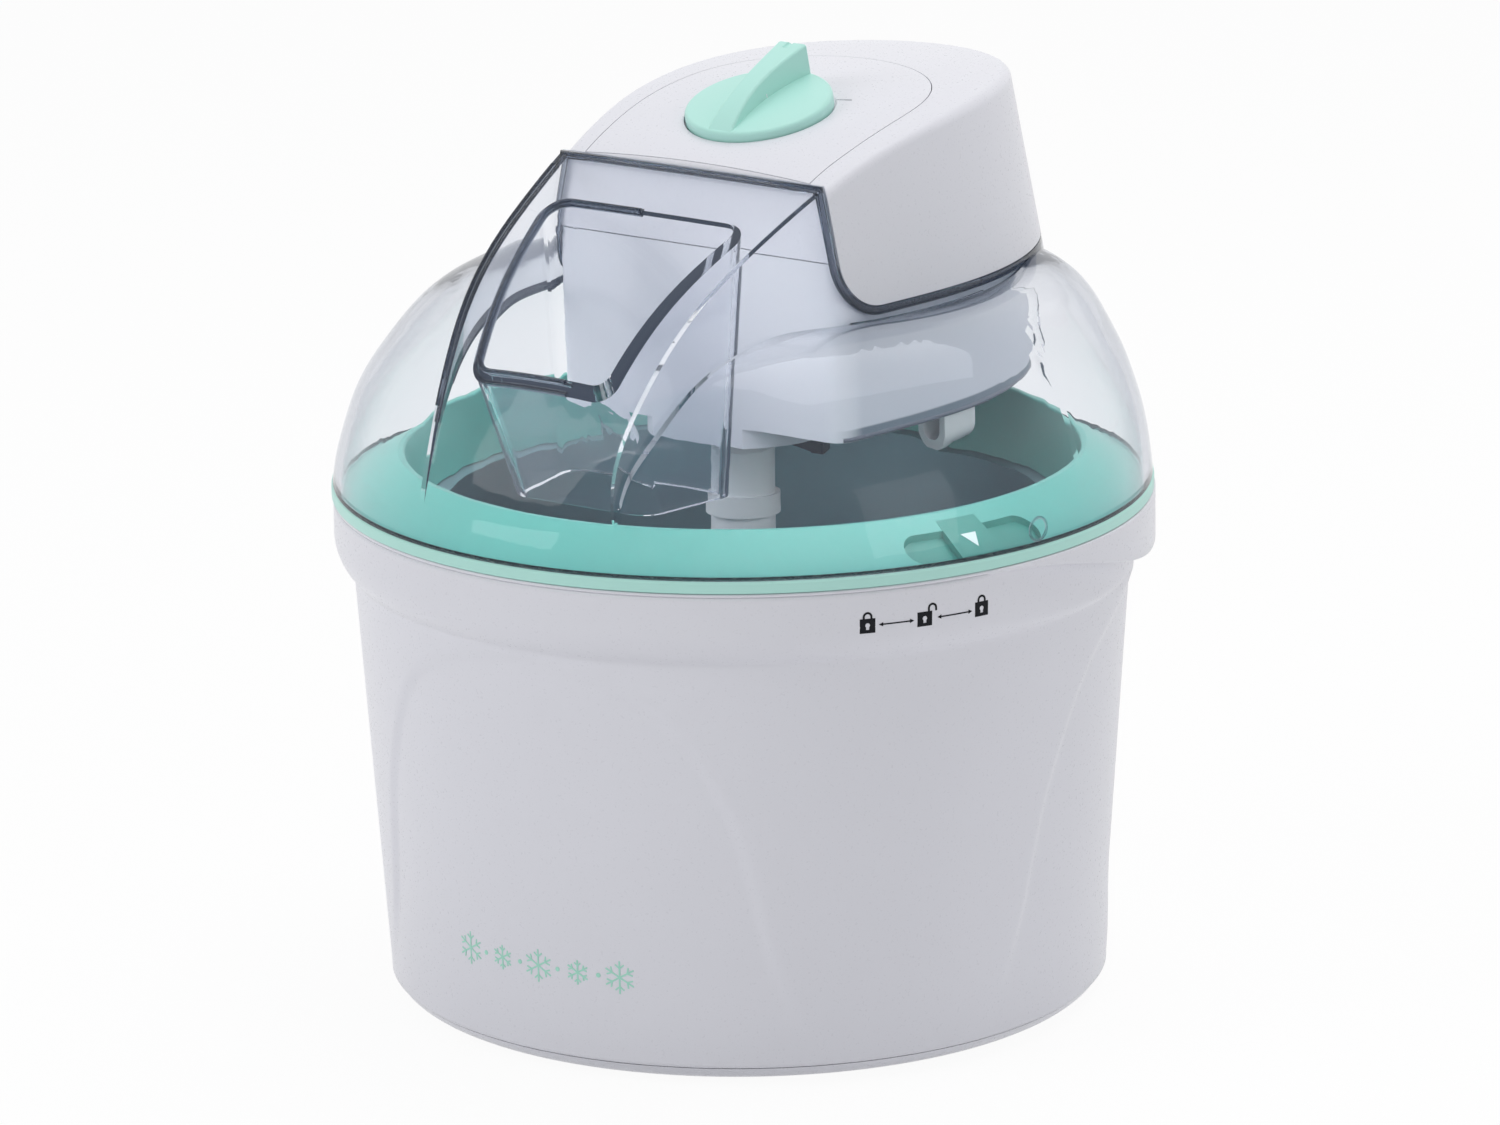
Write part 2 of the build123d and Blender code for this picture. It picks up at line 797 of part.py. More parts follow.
def lower_body(grow):
    """The lower part of the motor unit as a filled solid, `grow` inside its outer face."""
    front = hood_back + unit_gap + grow
    outline = boat_face(hood_level, unit_inset + grow)
    outline = Pos(0, 0, unit_floor_height - hood_level) * outline
    window = Pos(0, front + 60, unit_floor_height) * make_face(Rectangle(160, 120).edges())
    outline = outline & window
    corners = outline.vertices().filter_by(lambda vertex: vertex.Y < front + 1)
    outline = fillet(corners, unit_corner_radius)
    body = extrude(outline, hood_level + saddle_radius - unit_floor_height, dir=(0, 0, 1))
    body &= boat(unit_floor_height - 1, hood_top, unit_inset - 0.2 + grow)
    return body & disc(unit_limit_radius - grow, unit_floor_height, hood_top)


def make_motor_base():
    """Lower shell of the motor unit with the bearing boss and the posts."""
    floor_top = unit_floor_height + unit_wall
    high = hood_level + saddle_radius - unit_gap
    shell = lower_body(0) - (lower_body(unit_wall) & disc(200, floor_top, hood_top))
    shell &= disc(200, 0, high)
    shell -= block((-80, hood_back + saddle_radius, unit_collar_height), (80, 120, hood_top))
    hub_low = unit_floor_height - hub_drop
    front = block((-80, hood_back + unit_gap, hub_low), (80, 80, floor_top))
    shell += disc(hub_radius, hub_low, floor_top) & front
    for x, y in plate_screw_places():
        shell += disc(boss_radius, floor_top, plate_height, x, y)
        shell -= disc(screw_radius + screw_clearance, plate_height - 9, plate_height, x, y)
    for x, y in cover_screw_places():
        shell += disc(post_radius, floor_top, post_top_height, x, y)
        shell -= disc(screw_head_radius + screw_clearance, 0, post_top_height - 2.5, x, y)
        shell -= disc(screw_radius + screw_clearance, 0, post_top_height, x, y)
    shell -= disc(bushing_radius + fit_clearance, 0, floor_top)
    shell -= disc(axle_radius + fit_clearance, unit_floor_height + 1, floor_top, 0, idler_y())
    slot = hook_frame() * block(
        (-hook_length / 2 - hook_gap, -hook_width / 2 - hook_gap, -20),
        (hook_length / 2 + hook_travel + hook_gap, hook_width / 2 + hook_gap, 20),
    )
    return shell - slot


def hook_frame():
    """Place of the latch: X points away from the axis, origin on the unit floor."""
    x, y = polar(hook_radius, hook_angle)
    return Location((x, y, unit_floor_height), (0, 0, hook_angle - 90))


def make_latch_hook():
    """Sliding hook with a foot that runs on the floor of the motor unit."""
    half_length = hook_length / 2
    half_width = hook_width / 2
    floor_top = unit_wall
    low = hook_low_height - unit_floor_height
    hook = block((-half_length, -half_width, low), (half_length, half_width, floor_top + 1))
    foot_low = (-half_length - 2, -half_width - 2, floor_top)
    hook += block(foot_low, (half_length + 2, half_width + 2, floor_top + 1.6))
    tip = -half_length - hook_reach
    side = [(half_length, low + 0.8), (half_length - 2, low), (tip, low + 1.4), (tip, low + 2), (0, low + 3)]
    foot = Plane.XZ * make_face(Polyline(*side, close=True))
    hook += extrude(foot, half_width, both=True)
    return hook_frame() * hook


def make_catches():
    """Two U-shaped channels under the motor unit, open at both ends."""
    catches = []
    low = unit_floor_height - catch_height
    half = catch_width / 2
    for side in (-1, 1):
        middle = side * catch_x
        outer = block(
            (middle - half, catch_front, low), (middle + half, catch_front + catch_length, unit_floor_height)
        )
        outer = fillet(outer.edges().filter_by(Axis.Y).group_by(Axis.Z)[0], half - 0.5)
        inner = block(
            (middle - half + catch_wall, catch_front - 1, low + catch_wall),
            (middle + half - catch_wall, catch_front + catch_length + 1, unit_floor_height),
        )
        inner = fillet(inner.edges().filter_by(Axis.Y).group_by(Axis.Z)[0], half - catch_wall - 0.4)
        catches.append(outer - inner)
    return Compound(children=catches)


def make_output_bushing():
    """Flanged bearing of the output shaft."""
    low = unit_floor_height - hub_drop
    bore = shaft_radius + running_clearance
    high = unit_floor_height + unit_wall + 1
    bushing = tube(bushing_radius, bore, low, high)
    return bushing + tube(bushing_radius + 2, bore, low - 1, low)


def make_cord_gland():
    """Collar around the hole where a power lead enters."""
    wall_face = hood_middle + hood_rear_length - 0.2
    low = wall_face - 8.9
    gland = disc(gland_radius, low, wall_face) + disc(gland_radius + 2, wall_face, gland_reach)
    gland += disc(gland_radius + 1.5, low, low + 2)
    gland -= disc(gland_bore, low, gland_reach)
    return Pos(0, 0, gland_height) * Rot(-90, 0, 0) * gland


def make_rotary_switch():
    """Switch body behind the knob."""
    low = -switch_top - switch_length
    body = along_knob(switch_radius, low, -switch_top)
    return body - along_knob(spindle_radius + running_clearance, low + 2, -switch_top)


def make_cover_screws():
    """Screws deep in the posts that pull the two shells together."""
    low = post_top_height - 2.5 - screw_head_height
    length = cover_screw_length - screw_clearance
    return Compound(
        children=[screw(x, y, low, length) for x, y in cover_screw_places()]
    )


# ---------------------------------------------------------------- drive train
def idler_y():
    """Place of the idler behind the output shaft."""
    return gear_module * (output_teeth + idler_small_teeth) / 2 + gear_clearance


def motor_y():
    """Place of the motor shaft behind the idler."""
    return idler_y() + gear_module * (idler_large_teeth + pinion_teeth) / 2 + gear_clearance


def gear(teeth, low, phase, y):
    """A spur gear with straight flanks, one tooth standing at `phase` degrees from +X."""
    pitch = gear_module * teeth / 2
    root = pitch - gear_dedendum * gear_module
    tip = pitch + gear_addendum * gear_module
    flank = math.tan(math.radians(gear_flank))
    root_half = (gear_tooth_width / 2 + gear_dedendum * flank) * gear_module / root
    tip_half = (gear_tooth_width / 2 - gear_addendum * flank) * gear_module / tip
    points = []
    for index in range(teeth):
        middle = math.radians(phase) + index * math.tau / teeth
        corners = [(root, -root_half), (tip, -tip_half), (tip, tip_half), (root, root_half)]
        for radius, turn in corners:
            points.append((radius * math.cos(middle + turn), radius * math.sin(middle + turn)))
    return Pos(0, y, low) * extrude(make_face(Polyline(*points, close=True)), gear_face)


def make_output_gear():
    """Last gear of the train, fixed on the output shaft."""
    blank = gear(output_teeth, output_gear_height, 0, 0)
    return blank - disc(shaft_radius + fit_clearance, 0, hood_top)


def make_idler_gear():
    """Stepped gear between the motor and the output."""
    upper = output_gear_height + gear_face + gear_step_gap
    small = gear(idler_small_teeth, output_gear_height, 0, idler_y())
    large = gear(idler_large_teeth, upper, 0, idler_y())
    middle = disc(axle_radius + 2.5, output_gear_height, upper, 0, idler_y())
    bore = disc(axle_radius + running_clearance, 0, hood_top, 0, idler_y())
    return small + middle + large - bore


def make_motor_pinion():
    """Pinion with the motor shaft that carries it."""
    low = output_gear_height + gear_face + gear_step_gap
    pinion = gear(pinion_teeth, low, 15, motor_y())
    high = plate_height + plate_thickness + motor_can_height / 2
    return pinion + disc(axle_radius, low, high, 0, motor_y())


def make_idler_axle():
    """Fixed pin that the idler runs on."""
    low = unit_floor_height + 1
    return disc(axle_radius, low, plate_height + plate_thickness, 0, idler_y())


def make_gear_plate():
    """Plate that carries the motor and the upper ends of the shafts."""
    low = (-plate_half_width, plate_front, plate_height)
    high = (plate_half_width, plate_rear, plate_height + plate_thickness)
    plate = block(low, high)
    plate = fillet(plate.edges().filter_by(Axis.Z), 6)
    top = plate_height + plate_thickness
    plate -= disc(axle_radius + running_clearance, 0, top)
    plate -= disc(axle_radius + fit_clearance, 0, top, 0, idler_y())
    plate -= disc(axle_radius + running_clearance, 0, top, 0, motor_y())
    for x, y in plate_screw_places():
        plate -= disc(screw_radius + screw_clearance, 0, top, x, y)
    return plate


def make_motor_can():
    """Flat synchronous motor that stands on the gear plate."""
    low = plate_height + plate_thickness
    can = disc(motor_can_radius, low, low + motor_can_height, 0, motor_y())
    can = fillet(can.edges().sort_by(Axis.Z)[-1], 1.5)
    return can - disc(axle_radius + running_clearance, low, low + 12, 0, motor_y())


def make_motor_screws():
    """Screws that hold the gear plate down on its posts."""
    top = plate_height + plate_thickness
    screws = []
    for x, y in plate_screw_places():
        shank = disc(screw_radius, plate_height - 8, top, x, y)
        screws.append(shank + disc(screw_head_radius, top, top + screw_head_height, x, y))
    return Compound(children=screws)


def hexagon(radius, low, high):
    """An upright six-sided bar on the axis, `radius` to its corners."""
    return Pos(0, 0, low) * extrude(RegularPolygon(radius, 6), high - low)


def make_output_shaft():
    """Shaft from the gear plate down into the coupling, thinner beside the idler."""
    step = output_gear_height + gear_face
    shaft = disc(shaft_radius, coupling_low_height + 2, step)
    return shaft + disc(axle_radius, step, plate_height + plate_thickness - 0.5)


def make_drive_coupling():
    """Coupling with a collar and a spigot that the paddle hangs on."""
    low, high = coupling_low_height, coupling_top_height
    body = disc(coupling_radius, low, high)
    body = chamfer(body.edges().sort_by(Axis.Z)[-1], 1.0)
    body += disc(coupling_collar_radius, low + 6.5, low + 12.5)
    body += hexagon(coupling_spigot_radius, low - coupling_spigot_length, low)
    return body - disc(shaft_radius + fit_clearance, low + 2, high)


def make_paddle():
    """Mixing paddle: a hub with a curved frame on either side."""
    low = tub_floor_height + paddle_floor_gap
    hub_top = coupling_low_height - paddle_gap
    half = paddle_thickness / 2
    frame = block((-paddle_reach, -half, low), (paddle_reach, half, paddle_top_height))
    corners = frame.edges().filter_by(Axis.Y)
    frame = fillet(corners, paddle_corner_radius)
    width = paddle_bar_width
    for side in (-1, 1):
        inner, outer = sorted((side * (paddle_hub_radius + 2), side * (paddle_reach - width)))
        window = block(
            (inner, -half - 1, low + width), (outer, half + 1, paddle_top_height - width)
        )
        frame -= fillet(window.edges().filter_by(Axis.Y), paddle_corner_radius - width)
    paddle = frame + disc(paddle_hub_radius, low, hub_top)
    socket = coupling_spigot_radius + paddle_gap
    return paddle - hexagon(socket, hub_top - coupling_spigot_length - 0.5, hub_top)


# ---------------------------------------------------------------- knob
def grip_side():
    """Side outline of the grip: a curved rise from the front to the blunt rear."""
    rise = Spline(
        (-grip_front, knob_height - knob_dome),
        (-8.5, grip_height - 3.4),
        (3, grip_height - 0.9),
        (grip_rear, grip_height),
    )
    rear = Line((grip_rear, grip_height), (grip_rear, 0.6))
    floor = Line((grip_rear, 0.6), (-grip_front, 0.6))
    front = Line((-grip_front, 0.6), (-grip_front, knob_height - knob_dome))
    return make_face(Curve([rise, rear, floor, front]))


def grip_plan():
    """Outline of the grip from above, with a waist in its middle."""
    right = Spline(
        (grip_half_width, -grip_front - 1), (grip_waist, -2.0), (grip_half_width + 0.6, grip_rear + 1)
    )
    ends = [
        Line((-grip_half_width, -grip_front - 1), (grip_half_width, -grip_front - 1)),
        Line((-grip_half_width - 0.6, grip_rear + 1), (grip_half_width + 0.6, grip_rear + 1)),
    ]
    return make_face(Curve([right, mirror(right, about=Plane.YZ), *ends]))


def make_knob():
    """Round knob with a domed face, a waisted grip across it and a pointer notch."""
    edge = knob_height - knob_dome
    profile = [
        (0, -knob_sink),
        (knob_radius, -knob_sink),
        (knob_radius, edge),
        (0.55 * knob_radius, edge + 0.7 * knob_dome),
        (0, knob_height),
    ]
    body = turned(profile, [(2, 1.1), (3, 60)])
    grip = extrude(Plane.YZ * grip_side(), grip_half_width + 1, both=True)
    grip &= extrude(grip_plan(), grip_height + 1)
    grip &= disc(knob_radius - 0.2, 0, grip_height + 1)
    grip = fillet(grip.edges().filter_by(lambda edge: edge.center().Z > knob_height + 1), 0.8)
    notch = Pos(-0.4, grip_rear, grip_height + 0.2) * Rot(90, 0, 0) * Cylinder(grip_notch, 7)
    body += grip - notch
    body -= disc(spindle_radius + fit_clearance, -knob_sink, knob_height + 1)
    return knob_plane() * body


def make_knob_spindle():
    """Spindle that joins the knob to the switch."""
    return along_knob(spindle_radius, -spindle_length, knob_height + 1)


# ---------------------------------------------------------------- the nodes
NODES = {
    "housing": make_housing,
    "base_plate": make_base_plate,
    "rubber_feet": make_rubber_feet,
    "base_screws": make_base_screws,
    "tub_inner": make_tub_inner,
    "tub_outer": make_tub_outer,
    "coolant": make_coolant,
    "rim_seal": make_rim_seal,
    "lock_ring": make_lock_ring,
    "lid": make_lid,
    "motor_cover": make_motor_cover,
    "top_inlay": make_top_inlay,
    "motor_base": make_motor_base,
    "motor_can": make_motor_can,
    "gear_plate": make_gear_plate,
    "motor_screws": make_motor_screws,
    "cover_screws": make_cover_screws,
    "cord_gland": make_cord_gland,
    "rotary_switch": make_rotary_switch,
    "catches": make_catches,
    "output_bushing": make_output_bushing,
    "idler_axle": make_idler_axle,
    "latch_hook": make_latch_hook,
    "knob": make_knob,
    "knob_spindle": make_knob_spindle,
    "output_gear": make_output_gear,
    "output_shaft": make_output_shaft,
    "drive_coupling": make_drive_coupling,
    "paddle": make_paddle,
    "idler_gear": make_idler_gear,
    "motor_pinion": make_motor_pinion,
}

for name, make in NODES.items():
    export_step(make(), f"parts/{name}.step")
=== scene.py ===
"""Looks for the ice cream maker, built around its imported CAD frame. Metres, +Z up."""

import math

import bmesh
import bpy
import numpy as np
from mathutils import Matrix, Vector
from mathutils.bvhtree import BVHTree


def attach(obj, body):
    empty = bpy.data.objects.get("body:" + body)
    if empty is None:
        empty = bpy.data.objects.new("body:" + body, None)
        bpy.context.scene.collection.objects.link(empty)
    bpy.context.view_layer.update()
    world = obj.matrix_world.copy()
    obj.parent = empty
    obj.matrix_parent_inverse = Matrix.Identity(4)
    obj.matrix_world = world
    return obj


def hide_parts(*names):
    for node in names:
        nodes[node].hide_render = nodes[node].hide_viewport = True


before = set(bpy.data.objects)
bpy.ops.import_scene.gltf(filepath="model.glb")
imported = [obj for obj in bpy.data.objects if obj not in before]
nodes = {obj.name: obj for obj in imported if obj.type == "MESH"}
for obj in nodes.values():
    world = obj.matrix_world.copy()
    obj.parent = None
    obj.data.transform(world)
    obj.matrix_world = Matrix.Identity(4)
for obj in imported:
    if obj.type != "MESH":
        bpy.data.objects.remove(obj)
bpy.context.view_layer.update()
MM = 0.001
UNIT_FOOT, UNIT_MIDDLE = 151.5, 30  # underside of the motor unit and its middle on Y, mm
MIX_FIRST, MIX_SECOND, MIX_RESULT = 6, 7, 2  # the colour sockets of a Mix node


# ------------------------------------------------------------------ camera
def make_camera():
    """The camera of the main view, aimed by its pitch, turn about Z and roll."""
    turn, pitch, yaw, roll = math.radians(35), 0.2705, 0.0007, -0.0136
    distance, height = 2.1855, 0.7162
    sensor, focal_share = 36, 5.9382  # focal length as a share of the sensor width
    heading = turn - yaw
    flat = Vector((-math.sin(heading), math.cos(heading), 0))
    right = Vector((math.cos(heading), math.sin(heading), 0))
    forward = flat * math.cos(pitch) - Vector((0, 0, 1)) * math.sin(pitch)
    up = right.cross(forward)
    side = right * math.cos(roll) + up * math.sin(roll)
    top = up * math.cos(roll) - right * math.sin(roll)
    data = bpy.data.cameras.new("camera")
    data.sensor_width = sensor
    data.lens = focal_share * sensor
    data.clip_end = 20
    camera = bpy.data.objects.new("camera", data)
    camera.matrix_world = Matrix(
        (
            (side.x, top.x, -forward.x, distance * math.sin(turn)),
            (side.y, top.y, -forward.y, -distance * math.cos(turn)),
            (side.z, top.z, -forward.z, height),
            (0, 0, 0, 1),
        )
    )
    bpy.context.scene.collection.objects.link(camera)
    bpy.context.scene.camera = camera


# ------------------------------------------------------------------ materials
def new_material(name):
    """A new node material, its tree and its Principled shader."""
    material = bpy.data.materials.new(name)
    material.use_nodes = True
    tree = material.node_tree
    shader = tree.nodes["Principled BSDF"]
    return material, tree, shader


def noise(tree, scale, detail=3.0, stretch=None):
    """Noise in object coordinates, stretched along the axes where asked."""
    place = tree.nodes.new("ShaderNodeTexCoord")
    mapping = tree.nodes.new("ShaderNodeMapping")
    mapping.inputs["Scale"].default_value = stretch or (1, 1, 1)
    texture = tree.nodes.new("ShaderNodeTexNoise")
    texture.inputs["Scale"].default_value = scale
    texture.inputs["Detail"].default_value = detail
    tree.links.new(place.outputs["Object"], mapping.inputs["Vector"])
    tree.links.new(mapping.outputs["Vector"], texture.inputs["Vector"])
    return texture


def ramp(tree, source, low, high, start=0.3, end=0.7):
    """A two-colour ramp over a value."""
    node = tree.nodes.new("ShaderNodeValToRGB")
    node.color_ramp.elements[0].position = start
    node.color_ramp.elements[1].position = end
    node.color_ramp.elements[0].color = (*low, 1)
    node.color_ramp.elements[1].color = (*high, 1)
    tree.links.new(source, node.inputs["Fac"])
    return node.outputs["Color"]


def spread(tree, source, low, high):
    """A value spread between two limits."""
    node = tree.nodes.new("ShaderNodeMapRange")
    node.inputs["From Min"].default_value = 0.3
    node.inputs["From Max"].default_value = 0.7
    node.inputs["To Min"].default_value = low
    node.inputs["To Max"].default_value = high
    tree.links.new(source, node.inputs["Value"])
    return node.outputs["Result"]


def bump(tree, source, shader, strength, distance):
    """Fine relief from a noise."""
    node = tree.nodes.new("ShaderNodeBump")
    node.inputs["Strength"].default_value = strength
    node.inputs["Distance"].default_value = distance
    tree.links.new(source, node.inputs["Height"])
    tree.links.new(node.outputs["Normal"], shader.inputs["Normal"])


def finish_with(name, color, rough, vary=0.02, grain=1500, relief=0.05, stretch=None, **constants):
    """A solid finish: slow colour drift, uneven gloss and a fine grain."""
    material, tree, shader = new_material(name)
    slow = noise(tree, 25, 2)
    fine = noise(tree, grain, 4, stretch)
    low = tuple(c * (1 - vary) for c in color)
    high = tuple(min(1, c * (1 + vary)) for c in color)
    tree.links.new(ramp(tree, slow.outputs["Fac"], low, high), shader.inputs["Base Color"])
    gloss = spread(tree, fine.outputs["Fac"], rough * 0.88, rough * 1.12)
    tree.links.new(gloss, shader.inputs["Roughness"])
    bump(tree, fine.outputs["Fac"], shader, relief, 0.0001)
    for socket, value in constants.items():
        shader.inputs[socket.replace("_", " ")].default_value = value
    return material


def share_along(tree, axis, start, end):
    """A share that grows from 0 to 1 between two places on an axis of the object."""
    place = tree.nodes.new("ShaderNodeTexCoord")
    parts = tree.nodes.new("ShaderNodeSeparateXYZ")
    share = tree.nodes.new("ShaderNodeMapRange")
    share.inputs["From Min"].default_value = start
    share.inputs["From Max"].default_value = end
    tree.links.new(place.outputs["Object"], parts.inputs["Vector"])
    tree.links.new(parts.outputs[axis], share.inputs["Value"])
    return share.outputs["Result"]


def painted_light_front(material, color, start, end):
    """Painted light: lets a solid finish turn to another, paler colour towards the front, between
    two places on Y.
    """
    tree = material.node_tree
    socket = tree.nodes["Principled BSDF"].inputs["Base Color"]
    plain = socket.links[0].from_socket
    mix = tree.nodes.new("ShaderNodeMix")
    mix.data_type = "RGBA"
    mix.inputs[MIX_FIRST].default_value = (*color, 1)
    tree.links.new(share_along(tree, "Y", start, end), mix.inputs["Factor"])
    tree.links.new(plain, mix.inputs[MIX_SECOND])
    tree.links.new(mix.outputs[MIX_RESULT], socket)


def painted_shade_band(material, color, low, high):
    """Painted shade: darkens a solid finish between two heights, with a soft change at both."""
    tree = material.node_tree
    socket = tree.nodes["Principled BSDF"].inputs["Base Color"]
    plain = socket.links[0].from_socket
    width = high - low
    changes = (0.32, 0.34, 0.64, 0.70)  # both soft changes, as shares of three band widths
    band = tree.nodes.new("ShaderNodeValToRGB")
    stops = band.color_ramp.elements
    stops[0].position, stops[1].position = changes[:2]
    for position in changes[2:]:
        stops.new(position)
    for stop, shown in zip(stops, ((1, 1, 1), color, color, (1, 1, 1))):
        stop.color = (*shown, 1)
    mix = tree.nodes.new("ShaderNodeMix")
    mix.data_type = "RGBA"
    mix.blend_type = "MULTIPLY"
    mix.inputs["Factor"].default_value = 1
    tree.links.new(share_along(tree, "Z", low - width, high + width), band.inputs["Fac"])
    tree.links.new(plain, mix.inputs[MIX_FIRST])
    tree.links.new(band.outputs["Color"], mix.inputs[MIX_SECOND])
    tree.links.new(mix.outputs[MIX_RESULT], socket)


def clear_plastic(name, color, density, shade, painted_glow=0.0):
    """Clear moulded plastic: tinted along the wall, and lamps shine through it. Its colour darkens
    where the wall is seen edge-on, as painted shade, and it can glow faintly, as painted light.
    """
    refraction = 1.3  # less than solid plastic has, so that reflections veil less
    edge_on_shade_tint, painted_glow_tint = (0.20, 0.24, 0.32), (0.55, 0.7, 1.0)
    material, tree, shader = new_material(name)
    fine = noise(tree, 60, 2)
    gloss = spread(tree, fine.outputs["Fac"], 0.0, 0.03)
    tree.links.new(gloss, shader.inputs["Roughness"])
    wide = noise(tree, 22, 1)
    bump(tree, wide.outputs["Fac"], shader, 0.12, 0.0004)
    # painted shade: the base colour turns to a dark slate where the wall is seen edge-on
    facing = tree.nodes.new("ShaderNodeLayerWeight")
    facing.inputs["Blend"].default_value = 0.5
    edge_on = ramp(tree, facing.outputs["Facing"], (1, 1, 1), edge_on_shade_tint, 0.64, 0.98)
    tree.links.new(edge_on, shader.inputs["Base Color"])
    shader.inputs["Transmission Weight"].default_value = 1
    shader.inputs["IOR"].default_value = refraction
    # painted light: a faint bluish glow, though the plastic is no lamp
    shader.inputs["Emission Color"].default_value = (*painted_glow_tint, 1)
    shader.inputs["Emission Strength"].default_value = painted_glow
    volume = tree.nodes.new("ShaderNodeVolumeAbsorption")
    volume.inputs["Color"].default_value = (*color, 1)
    volume.inputs["Density"].default_value = density
    output = tree.nodes["Material Output"]
    tree.links.new(volume.outputs["Volume"], output.inputs["Volume"])
    path = tree.nodes.new("ShaderNodeLightPath")
    veil = tree.nodes.new("ShaderNodeBsdfTransparent")
    veil.inputs["Color"].default_value = (*shade, 1)
    mix = tree.nodes.new("ShaderNodeMixShader")
    tree.links.new(path.outputs["Is Shadow Ray"], mix.inputs["Fac"])
    tree.links.new(shader.outputs["BSDF"], mix.inputs[1])
    tree.links.new(veil.outputs["BSDF"], mix.inputs[2])
    tree.links.new(mix.outputs["Shader"], output.inputs["Surface"])
    return material


def paint(obj, material):
    """Gives every face of a piece one material."""
    obj.data.materials.clear()
    obj.data.materials.append(material)


WHITE = finish_with("housing_white", (0.70, 0.705, 0.76), 0.3, vary=0.004, relief=0.006)
MINT = finish_with("mint_plastic", (0.43, 0.74, 0.675), 0.38, vary=0.01, relief=0.008)
RING_MINT = finish_with("ring_mint", (0.10, 0.42, 0.355), 0.33, vary=0.015, relief=0.008)
# a darker, bluer copy of the white plastic, as painted shade on the motor unit's lower body
BASE_WHITE_SHADED = finish_with("base_white", (0.50, 0.52, 0.575), 0.5, vary=0.004, relief=0.006)
# painted shade: a dark band along the foot of the motor unit's lower body
painted_shade_band(BASE_WHITE_SHADED, (0.24, 0.30, 0.34), UNIT_FOOT * MM, 154.4 * MM)
# painted light: the front wall of the lower body turns paler
painted_light_front(BASE_WHITE_SHADED, (0.70, 0.71, 0.76), -19.5 * MM, -12.0 * MM)
# the lid glows faintly as painted light
CLEAR = clear_plastic("clear_lid", (0.20, 0.24, 0.36), 36, (0.76, 0.78, 0.82), painted_glow=0.018)
# The foot and edge plastics are tinted far more strongly than the lid: painted shade for the dark
# lines along its clear edges and on its raised circle.
FOOT_CLEAR = clear_plastic("clear_foot", (0.02, 0.12, 0.14), 2600, (0.5, 0.54, 0.6))
EDGE = clear_plastic("clear_edge", (0.03, 0.12, 0.26), 800, (0.5, 0.54, 0.6))
ALUMINIUM = finish_with(
    "drawn_aluminium", (0.27, 0.41, 0.455), 0.5, vary=0.04, grain=400, stretch=(1, 1, 12),
    Metallic=1.0,
)
PALE = finish_with("pale_plastic", (0.78, 0.79, 0.8), 0.4)
BLACK = finish_with("black_plastic", (0.02, 0.021, 0.024), 0.35, vary=0.2)
HOOK_BLACK = finish_with(
    "hook_black", (0.004, 0.0045, 0.006), 0.45, vary=0.2, Specular_IOR_Level=0.12
)
STEEL = finish_with("zinc_steel", (0.55, 0.56, 0.57), 0.35, vary=0.06, Metallic=1.0)
BRASS = finish_with("turned_brass", (0.68, 0.52, 0.25), 0.3, vary=0.05, Metallic=1.0)
RUBBER = finish_with("soft_rubber", (0.06, 0.062, 0.065), 0.7, vary=0.15, relief=0.2)
GEL = finish_with("frozen_gel", (0.42, 0.6, 0.78), 0.3, vary=0.1, grain=200)
SHELL = finish_with("bowl_grey", (0.6, 0.62, 0.64), 0.4)
# painted shade: a darker mint for the lock slot and its tab
SLOT_SHADE_MINT = finish_with("slot_mint", (0.035, 0.27, 0.215), 0.4, vary=0.01, relief=0.008)
INK = finish_with(
    "printed_black", (0.008, 0.009, 0.012), 0.6, vary=0.2, Specular_IOR_Level=0.15
)
PRINT_MINT = finish_with("printed_mint", (0.36, 0.70, 0.58), 0.45, vary=0.02)
PRINT_PALE = finish_with("printed_pale", (0.72, 0.86, 0.83), 0.45, vary=0.01)
# painted shade: the grey of the bead under the motor unit stands for a shadow line
FOOT_SHADE_GREY = finish_with("foot_grey", (0.10, 0.115, 0.15), 0.3, vary=0.05)
PRINT_GREY = finish_with("printed_grey", (0.12, 0.13, 0.16), 0.45, vary=0.05)

FINISHES = {
    "housing": WHITE, "base_plate": WHITE, "rubber_feet": RUBBER, "base_screws": STEEL,
    "tub_inner": ALUMINIUM, "tub_outer": SHELL, "coolant": GEL, "rim_seal": RUBBER,
    "lock_ring": RING_MINT, "lid": CLEAR, "motor_cover": WHITE, "top_inlay": WHITE,
    "motor_base": BASE_WHITE_SHADED, "motor_can": STEEL, "gear_plate": STEEL, "motor_screws": STEEL,
    "cover_screws": STEEL, "cord_gland": BLACK, "rotary_switch": BLACK, "catches": PALE,
    "output_bushing": BRASS, "idler_axle": STEEL, "latch_hook": HOOK_BLACK, "knob": MINT,
    "knob_spindle": PALE, "output_gear": PALE, "output_shaft": STEEL,
    "drive_coupling": PALE, "paddle": PALE, "idler_gear": PALE, "motor_pinion": BRASS,
}
for node_name, node_finish in FINISHES.items():
    paint(nodes[node_name], node_finish)


# ------------------------------------------------------------------ mesh helpers
def mesh_piece(name, vertices, faces, material, body, smooth=True):
    """A piece from plain vertices and faces, riding on a body."""
    mesh = bpy.data.meshes.new(name)
    mesh.from_pydata([tuple(v) for v in vertices], [], faces)
    mesh.validate()
    work = bmesh.new()
    work.from_mesh(mesh)
    bmesh.ops.recalc_face_normals(work, faces=work.faces)
    work.to_mesh(mesh)
    work.free()
    for polygon in mesh.polygons:
        polygon.use_smooth = smooth
    mesh.materials.append(material)
    piece = bpy.data.objects.new(name, mesh)
    bpy.context.scene.collection.objects.link(piece)
    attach(piece, body)
    return piece


def smooth_step(low, high, value):
    """0 below `low`, 1 above `high`, with a soft change between them."""
    share = np.clip((value - low) / (high - low), 0, 1)
    return share * share * (3 - 2 * share)


